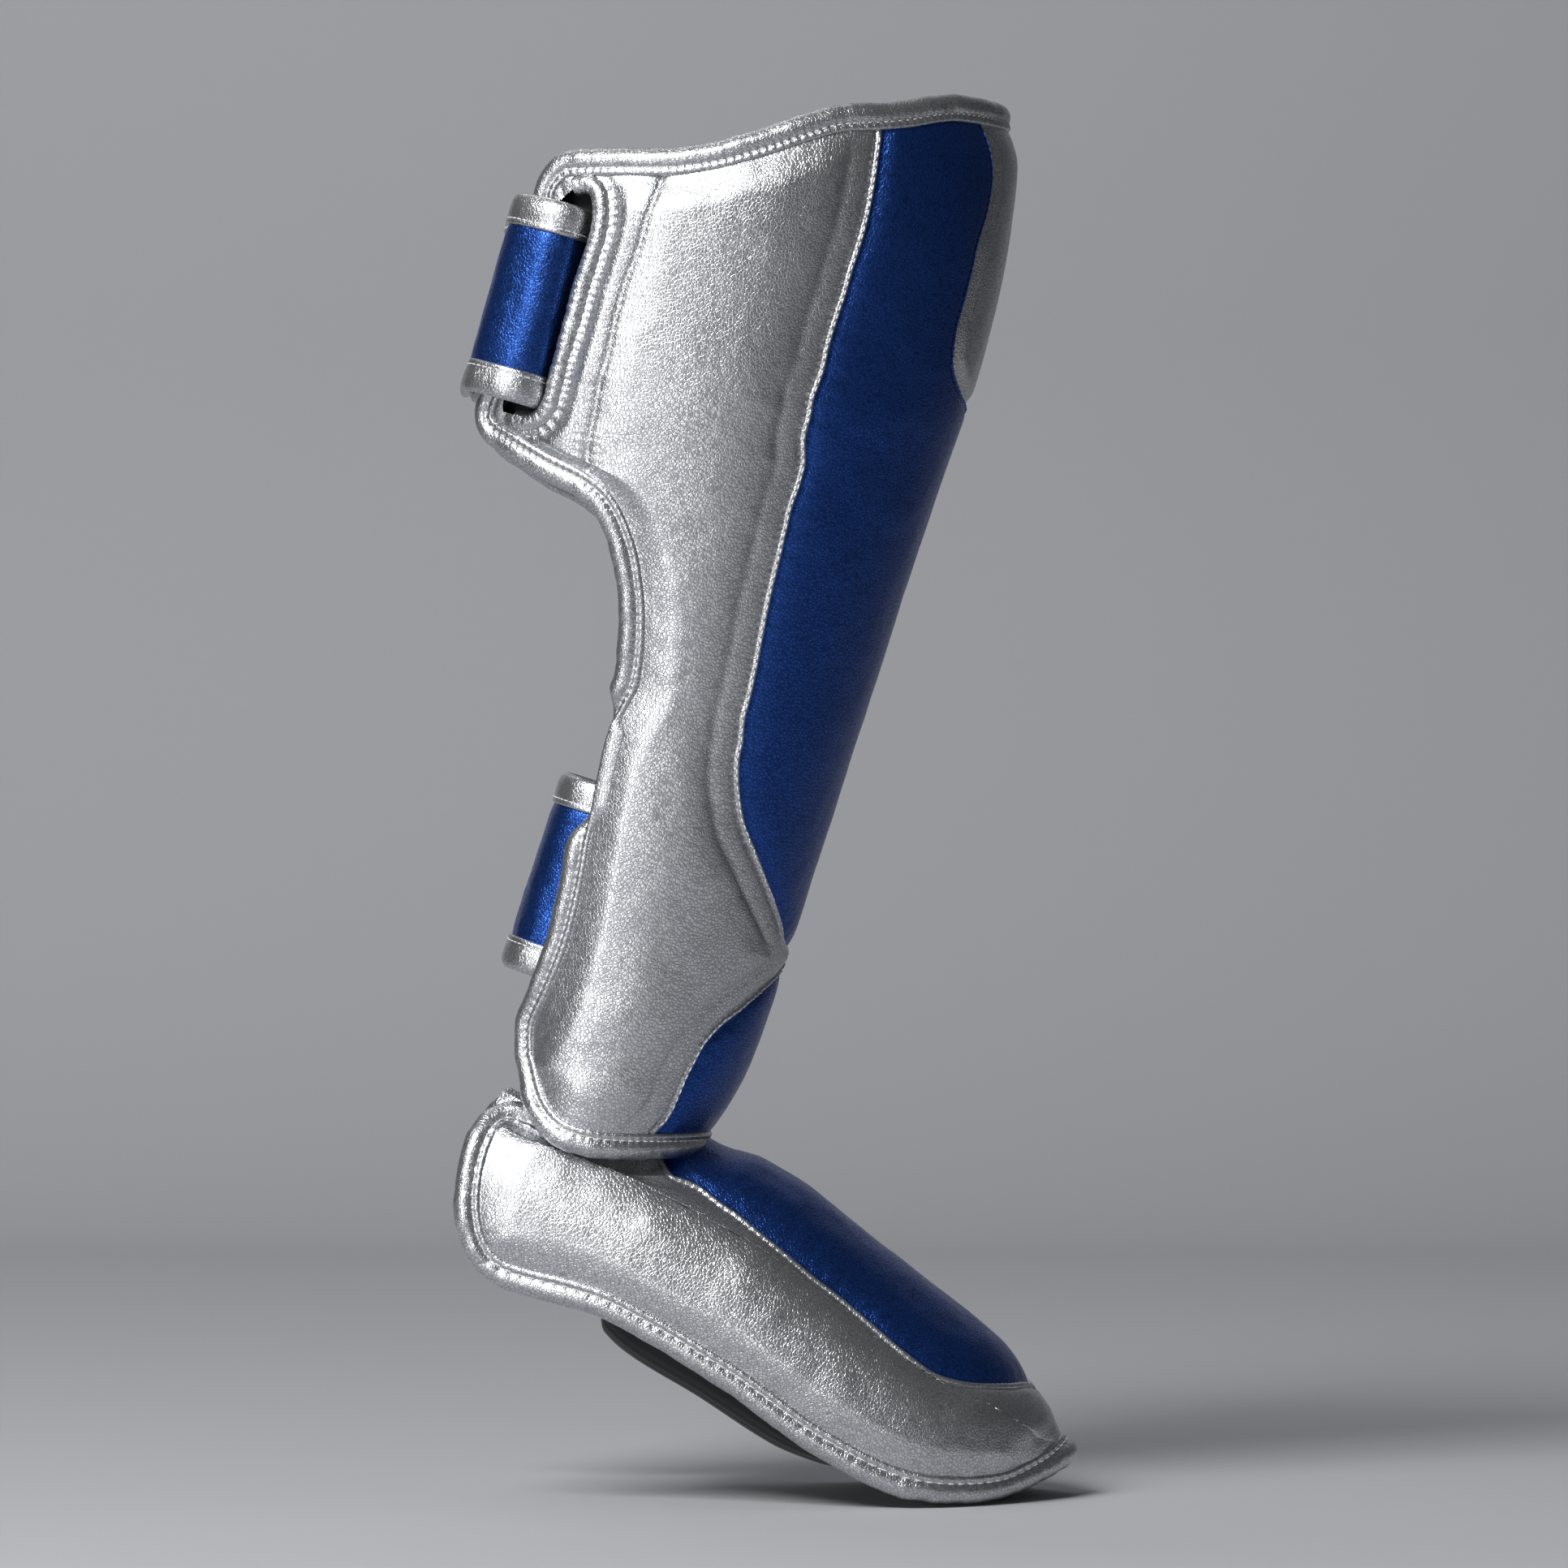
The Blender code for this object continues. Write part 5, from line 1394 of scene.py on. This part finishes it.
def instep_panels():
    u = np.unique(np.concatenate([np.linspace(0, 1, 260), [instep_tip]]))[:, None]
    start = np.where(u < instep_tip, instep_seam(u), 0)
    near = np.array([0, 0.12, 0.28, 0.5, 0.8, 1.2, 1.6, 1.95, 2.25, 2.5, 2.8, 3.2, 3.8, 4.6, 5.5])
    near = near / 1000 / (FOOT_HALF_WIDTH * foot_rim(u))
    rest = np.linspace(0, 1, 90)[1:]
    w = np.concatenate([start + near, start + near[:, -1:] + (1 - start - near[:, -1:]) * rest], axis=1)
    side = lapped(w[0], foot_point(w, u + 0 * w, instep_silver_height(w, u + 0 * w)))
    sides = [(side, False), (side * FAR, True)]
    look, slot = silver_leather, "silver_leather"
    silver = quad_piece("instep_side_leather", sides, look, slot, ["instep_side_panel"])
    u = np.linspace(0, instep_tip + TUCK / FOOT_LENGTH, 200)[:, None]
    half = np.where(u < instep_tip, instep_seam(u), 0) + foot_seam_tuck(u)
    w = half * np.linspace(-1, 1, 120)
    top = lapped(w[0], foot_point(w, u + 0 * w, instep_blue_height(w, u + 0 * w)))
    look, slot = blue_leather, "blue_leather"
    blue = quad_piece("instep_top_leather", [(top, False)], look, slot, ["instep_top_panel"])
    return silver, blue


instep_side, instep_top = instep_panels()


def instep_stitching():
    sewn = shifted(instep_edge, normals_near(instep_side, instep_edge), STITCH_LINE_MM)[2:-2]
    stitches("instep_stitches_right", instep_side, sewn)
    stitches("instep_stitches_left", instep_side, sewn * FAR)


instep_stitching()


def foot_wall(w, u):
    return RIM_WALL + (INSTEP_WALL - RIM_WALL) * ease(to_foot_edge(w, u) / 1000 / TAPER_RUN)


def instep_lining():
    u = np.linspace(0, 1, 160)[:, None]
    w = np.linspace(-1, 1, 141) + 0 * u
    u = u + 0 * w
    grid = foot_point(w, u, -foot_wall(w, u))
    faces = grid_faces(*grid.shape[:2], 0, True)
    points = grid.reshape(-1, 3)
    made = mesh_piece("instep_lining_cloth", points, faces, black_lining, "black_lining", ["instep_lining"])
    set_uv(made, 160, 141, np.linspace(-0.1, 0.1, 141), np.linspace(0, 0.21, 160))


instep_lining()


def open_binding():
    """The instep's binding runs from behind the ankle down one side, round the toe and back up the other."""
    heel = np.linspace(HEEL_TURN[1], 1, 200, endpoint=False)
    side = np.linspace(0, 1, 500, endpoint=False)
    toe = np.linspace(1, 0, 160)
    w = np.concatenate([heel, 0 * side + 1, toe])
    u = np.concatenate([0 * heel, side, 0 * toe + 1])
    w = np.concatenate([w, -w[-2::-1]])
    u = np.concatenate([u, u[-2::-1]])
    points = foot_point(w, u)
    away = unit(foot_normal(w, u) * [1.0, 1.0, 0.0])
    into = ease((HEEL_TURN[0] - np.abs(w)) / (HEEL_TURN[0] - HEEL_TURN[1])) * (u < 0.5)
    points = points - away * into[:, None] * HEEL_TURN_IN + np.array([0.0, 0.0, HEEL_TURN_UP]) * into[:, None]
    line, out, ups = edge_frame(points, foot_normal(w, u), False, 1, 16)
    grid = binding_grid(line, out, ups, 101, TOE_STITCH_PITCH_MM)
    faces = capped_faces(*grid.shape[:2])
    points = grid.reshape(-1, 3)
    made = mesh_piece(
        "instep_binding_leather", points, faces, silver_leather, "silver_leather", ["instep_binding"]
    )
    sewn = line + out * BINDING_STITCH_MM / 1000 + ups * 0.0006
    stitches("instep_binding_stitches", made, sewn, TOE_STITCH_PITCH_MM, TOE_STITCH_SIZE)


open_binding()

# The straps: a padded blue leather band edged with two silver bindings. The upper one is sewn outside the
# far wing, crosses behind the calf, comes out of the slot and folds back over the rim; the lower one stays
# inside the near wing.
STRAP_WIDTH = 0.048
STRAP_EDGE_WIDTH = 0.0102
STRAP_EDGE_THICKNESS = 0.0044
STRAP_CLEARANCE = 0.0005
STRAP_END_GAP = 0.020
FOLD_REACH = 0.0080
BINDING_RADIUS = 0.0042
PIECE_GAP = 0.0004
FLANK_PUFF = 0.003
UPPER_STRAP_HEIGHT = 0.16197
LOWER_STRAP_HEIGHT = -0.03293
UPPER_STRAP_TILT = math.radians(15.5)
LOWER_STRAP_TILT = math.radians(18.0)
# Columns: share of the half width from the middle, mm out from the middle of the thickness, mm on the back.
BAND_SECTION = (
    (0.0, 1.75, -1.5),
    (0.5, 1.7, -1.5),
    (0.8, 1.45, -1.4),
    (0.93, 0.95, -1.2),
    (1.02, 0.45, -0.7),
)
# Columns: mm from the binding's inner edge across the width, mm out; its back mirrors it.
STRAP_EDGE_SECTION = (
    (-1.1, 1.0),
    (-0.9, 1.75),
    (-0.1, 2.1),
    (0.9, 1.9),
    (2.2, 2.05),
    (4.5, 2.3),
    (7.2, 2.15),
    (9.2, 1.45),
    (10.2, 0.0),
)


# How far each lay of a strap stands off what it passes, and how it bows and drifts behind the calf.
UPPER_STRAP_LIFT = 0.0020
UPPER_SEWN_LIFT = 0.0040
LOWER_STRAP_LIFT = 0.0055
INNER_LAY_BOW = 0.0052
INNER_LAY_START_BOW = 0.0025
INNER_LAY_EXTRA = 0.0015
INNER_LAY_LEAD = 0.006
OUTER_LAY_BOW = 0.0012
OUTER_LAY_START_BOW = 0.0010
OUTER_LAY_DRIFT = 0.0042
FOLD_LEAD = 0.001
LOWER_STRAP_EXTRA = 0.002
LOWER_STRAP_BOWS = (0.012, 0.014, 0.013)


def strap_plane(height, tilt):
    """The plane square to a strap's width where it leaves the near rim: its directions up the width and
    towards the toe, its centre, and the rim's roll in it."""
    axis = np.array([math.sin(tilt), 0.0, math.cos(tilt)])
    east = np.array([math.cos(tilt), 0.0, -math.sin(tilt)])
    v = np.linspace(0, 1, 600)
    w = np.ones(600)
    rolls = shin_point(w, v, -RIM_WALL / 2)
    away = unit(np.cross(unit(np.gradient(rolls, axis=0)), -shin_normal(w, v)))
    rolls = rolls + away * (BINDING_RADIUS + PIECE_GAP)
    up = rolls[:, 2]
    order = np.argsort(up)
    centre = np.array([np.interp(height, up[order], rolls[order, 0]), 0.0, height])
    k = int(np.argmin(np.abs((rolls - centre) @ axis)))
    return axis, east, centre, np.array([(rolls[k] - centre) @ east, rolls[k, 1]])


def wing_line(axis, east, centre, shares, height):
    """Places in the plane on the near wing, at shares of the way from the front to the rim."""
    found = []
    for share in shares:
        v = 0.5
        for _ in range(30):
            point = shin_point(share, v, height)
            v = float(np.clip(v - ((point - centre) @ axis) / SHIN_HEIGHT, 0.01, 0.99))
        found.append([(point - centre) @ east, point[1]])
    return np.array(found)


def strap_ring(line, ups, axis, section, seed, wrinkle):
    """A closed section carried along a strap's path; section gives (across, out) in metres."""
    run = np.arange(len(line)) * 0.0008
    level = 0 * run[:, None]
    where = [run[:, None] + 0 * section[:, 0], section[:, 0] + level, 0.3 * section[:, 1] + level]
    where = np.stack(where, axis=-1)
    swell = wrinkle / 1000 * (ripple(where, 5.0, seed) + 0.6 * ripple(where * [1.0, 0.4, 1.0], 2.6, seed + 1))
    out = section[:, 1] + swell * np.sign(section[:, 1])
    return line[:, None] + section[None, :, :1] * axis + out[..., None] * ups[:, None]


def strap(name, path, plane, seed):
    axis, east, centre = plane
    places = even(np.array(path), 0.0008)
    line = centre + places[:, :1] * east + places[:, 1:] * np.array([0.0, 1.0, 0.0])
    line = softened(line, 5, False)
    ups = unit(softened(np.cross(unit(np.gradient(line, axis=0)), axis), 5, False))
    half = STRAP_WIDTH / 2
    share, front_mm, back_mm = np.array(BAND_SECTION).T
    across = np.linspace(-1.02, 1.02, 61)
    front_side = np.stack([across * half, smooth(share, front_mm)(np.abs(across)) / 1000], axis=1)
    back_side = np.stack([across * half, smooth(share, back_mm)(np.abs(across)) / 1000], axis=1)[::-1]
    section = np.concatenate([front_side, back_side])
    grid = strap_ring(line, ups, axis, section, seed, 0.16)
    pieces = [(name, grid, blue_leather, "blue_leather")]
    edge = np.array(STRAP_EDGE_SECTION)
    edge = np.concatenate([edge, (edge * [1, -1])[-2::-1]]) / 1000
    edge = rounded(np.concatenate([edge, edge[:1]]), 1)[:-1]
    start = half + PIECE_GAP
    upper = edge * [1, 1] + [start, 0]
    lower = upper * [-1, 1]
    for suffix, part in (("top_edge", upper), ("bottom_edge", lower[::-1])):
        grid = strap_ring(line, ups, axis, part, seed + 7, 0.14)
        pieces.append((f"{name}_{suffix}", grid, silver_leather, "silver_leather"))
    made = []
    for piece, grid, look, slot in pieces:
        faces = capped_faces(*grid.shape[:2])
        made.append(mesh_piece(f"{piece}_leather", grid.reshape(-1, 3), faces, look, slot, [piece]))
    for sign, guide in ((1, made[1]), (-1, made[2])):
        for side in (1, -1):
            sewn = line + axis * sign * (start + 0.0009) + ups * side * 0.0022
            where = "out" if side > 0 else "back"
            stitches(f"{guide.name}_stitches_{where}", guide, sewn)


def upper_strap():
    axis, east, centre, roll = strap_plane(UPPER_STRAP_HEIGHT, UPPER_STRAP_TILT)
    flip = np.array([1.0, -1.0])
    out_of_roll = BINDING_RADIUS + STRAP_CLEARANCE + STRAP_EDGE_THICKNESS / 2 + UPPER_STRAP_LIFT
    wing = wing_line(axis, east, centre, (0.72, 0.80, 0.88, 0.95), -RIM_WALL / 2)
    ahead = unit(wing[-1] - roll)
    out = np.array([ahead[1], -ahead[0]])
    if out @ np.array([0.0, -1.0]) < 0:
        out = -out
    off = FLANK_PUFF + STRAP_CLEARANCE + STRAP_EDGE_THICKNESS / 2 + UPPER_SEWN_LIFT
    far = [point * flip for point in wing_line(axis, east, centre, (0.74, 0.81, 0.88, 0.95), off)]
    far += [(roll + out * out_of_roll) * flip]
    far += [(roll + (out - ahead) * out_of_roll * 0.96) * flip]
    rear = roll[0] - out_of_roll
    fold = roll + ahead * FOLD_REACH
    inner = [np.array([rear + INNER_LAY_START_BOW, roll[1] * -0.72]), np.array([rear + INNER_LAY_BOW, 0.0])]
    inner += [roll * [1, 0.62] + np.array([INNER_LAY_LEAD, 0.0])]
    inner += [roll - out * (out_of_roll + INNER_LAY_EXTRA) + ahead * FOLD_LEAD]
    angles = np.radians((-90, -50, 0, 50, 90))
    turns = [fold + out_of_roll * (math.cos(a) * ahead + math.sin(a) * out) for a in angles]
    outer = [roll + out * out_of_roll + ahead * FOLD_LEAD, roll + (out - ahead) * out_of_roll * 0.78]
    outer += [np.array([rear - OUTER_LAY_START_BOW, roll[1] * 0.72]), np.array([rear - OUTER_LAY_BOW, 0.0])]
    outer += [np.array([rear - OUTER_LAY_DRIFT, -roll[1] - STRAP_END_GAP])]
    strap("upper_strap", rounded([*far, *inner, *turns, *outer], 3), (axis, east, centre), 111)


def lower_strap():
    axis, east, centre, roll = strap_plane(LOWER_STRAP_HEIGHT, LOWER_STRAP_TILT)
    flip = np.array([1.0, -1.0])
    half = STRAP_EDGE_THICKNESS / 2
    out_of_roll = BINDING_RADIUS + STRAP_CLEARANCE + half + LOWER_STRAP_LIFT
    near = wing_line(axis, east, centre, (0.78, 0.86, 0.93), -(SHIN_FLANK_WALL + STRAP_CLEARANCE + half))
    off = FLANK_PUFF + STRAP_CLEARANCE + half + LOWER_STRAP_LIFT
    sewn = wing_line(axis, east, centre, (0.70, 0.78, 0.86, 0.94), off)
    ahead = unit(sewn[-1] - sewn[-2]) * -1
    out = np.array([ahead[1], -ahead[0]])
    if out @ np.array([0.0, -1.0]) < 0:
        out = -out
    path = [*near, roll - out * (out_of_roll + LOWER_STRAP_EXTRA)]
    for bow, share in zip(LOWER_STRAP_BOWS, (0.55, 0.0, -0.7)):
        path.append(np.array([roll[0] - bow, roll[1] * share]))
    path += [(roll + (out - ahead) * out_of_roll) * flip]
    path += [(roll + out * out_of_roll) * flip]
    path += [point * flip for point in reversed(sewn)]
    strap("lower_strap", rounded(path, 3), (axis, east, centre), 121)


upper_strap()
lower_strap()

# The band under the sole: flat black ribbed elastic, sewn inside each side of the instep.
# Columns: along, a share of FOOT_LENGTH; drop of its flat stretch below the sloping line, of FOOT_ARCH.
SOLE_SECTIONS = (
    (0.26, 0.715),
    (0.33, 0.713),
    (0.47, 0.651),
    (0.61, 0.605),
    (0.68, 0.533),
    (0.72, 0.470),
)
black_elastic = fabric("black_ribbed_elastic", "#0f1013", 1.1, 0.25, 0.75)


def sole_strap():
    share, drop = np.array(SOLE_SECTIONS).T
    rounded_share = [share[0], share[0] + 0.012, share[0] + 0.035, share[0] + 0.08, *share[2:]]
    drop_at = smooth(rounded_share, [0.50, 0.60, 0.68, 0.70, *drop[2:]])
    rows = []
    for one in np.linspace(share[0], share[-1], 120):
        s = one * FOOT_LENGTH
        u = (s - foot_rim_s[0]) / (foot_rim_s[-1] - foot_rim_s[0])
        w = 1 - 0.012 / (FOOT_HALF_WIDTH * foot_rim(u))
        top = foot_point(w, u, -foot_wall(w, u) - 0.0016)
        rim = foot_point(1.0, u, -(RIM_WALL / 2 + BINDING_RADIUS + 0.0012))
        below = drop_at(one) * FOOT_ARCH
        flat_x = FOOT_START[0] + s * math.cos(FOOT_SLOPE) - below * math.sin(FOOT_SLOPE)
        flat_z = FOOT_START[1] - s * math.sin(FOOT_SLOPE) - below * math.cos(FOOT_SLOPE)
        reach = abs(rim[1]) * 0.90
        side = [top, rim]
        side.append(np.array([flat_x, -reach, flat_z]))
        side.append(np.array([flat_x, -reach * 0.55, flat_z - 0.002]))
        side.append(np.array([flat_x, 0.0, flat_z - 0.0025]))
        line = rounded(side + [point * FAR for point in reversed(side[:-1])], 3)
        rows.append(line)
    skin = np.array(rows)
    normal = unit(np.cross(np.gradient(skin, axis=1), np.gradient(skin, axis=0)))
    if normal[60, skin.shape[1] // 2, 2] < 0:
        normal = -normal
    sag = 0.0005 * ripple(skin * [0.4, 1.0, 0.4], 12.0, 131)[..., None]
    outer = skin + normal * sag
    inner = outer + normal * 0.002
    count, wide = skin.shape[:2]
    points = np.concatenate([outer.reshape(-1, 3), inner.reshape(-1, 3)])
    faces = np.concatenate([grid_faces(count, wide, 0, False), grid_faces(count, wide, count * wide, True)])
    ring = [r * wide for r in range(count)]
    border = [c for c in range(wide)] + [r + wide - 1 for r in ring[1:]]
    border += [ring[-1] + c for c in range(wide - 2, -1, -1)] + ring[-2:0:-1]
    pairs = zip(border, border[1:] + border[:1])
    edges = np.array([[b, a, a + count * wide, b + count * wide] for a, b in pairs])
    faces = np.concatenate([faces, edges])
    made = mesh_piece("sole_strap_elastic", points, faces, black_elastic, "black_elastic", ["sole_strap"])
    set_uv(made, 2 * count, wide, np.linspace(0, 0.2, wide), np.tile(np.linspace(0, 0.1, count), 2))


sole_strap()

# The tab inside the ankle's bend: a strip of lining that holds the two shells together.
def ankle_web():
    web = bpy.data.objects["ankle_web"]
    web.data.materials.clear()
    web.data.materials.append(black_lining)


ankle_web()
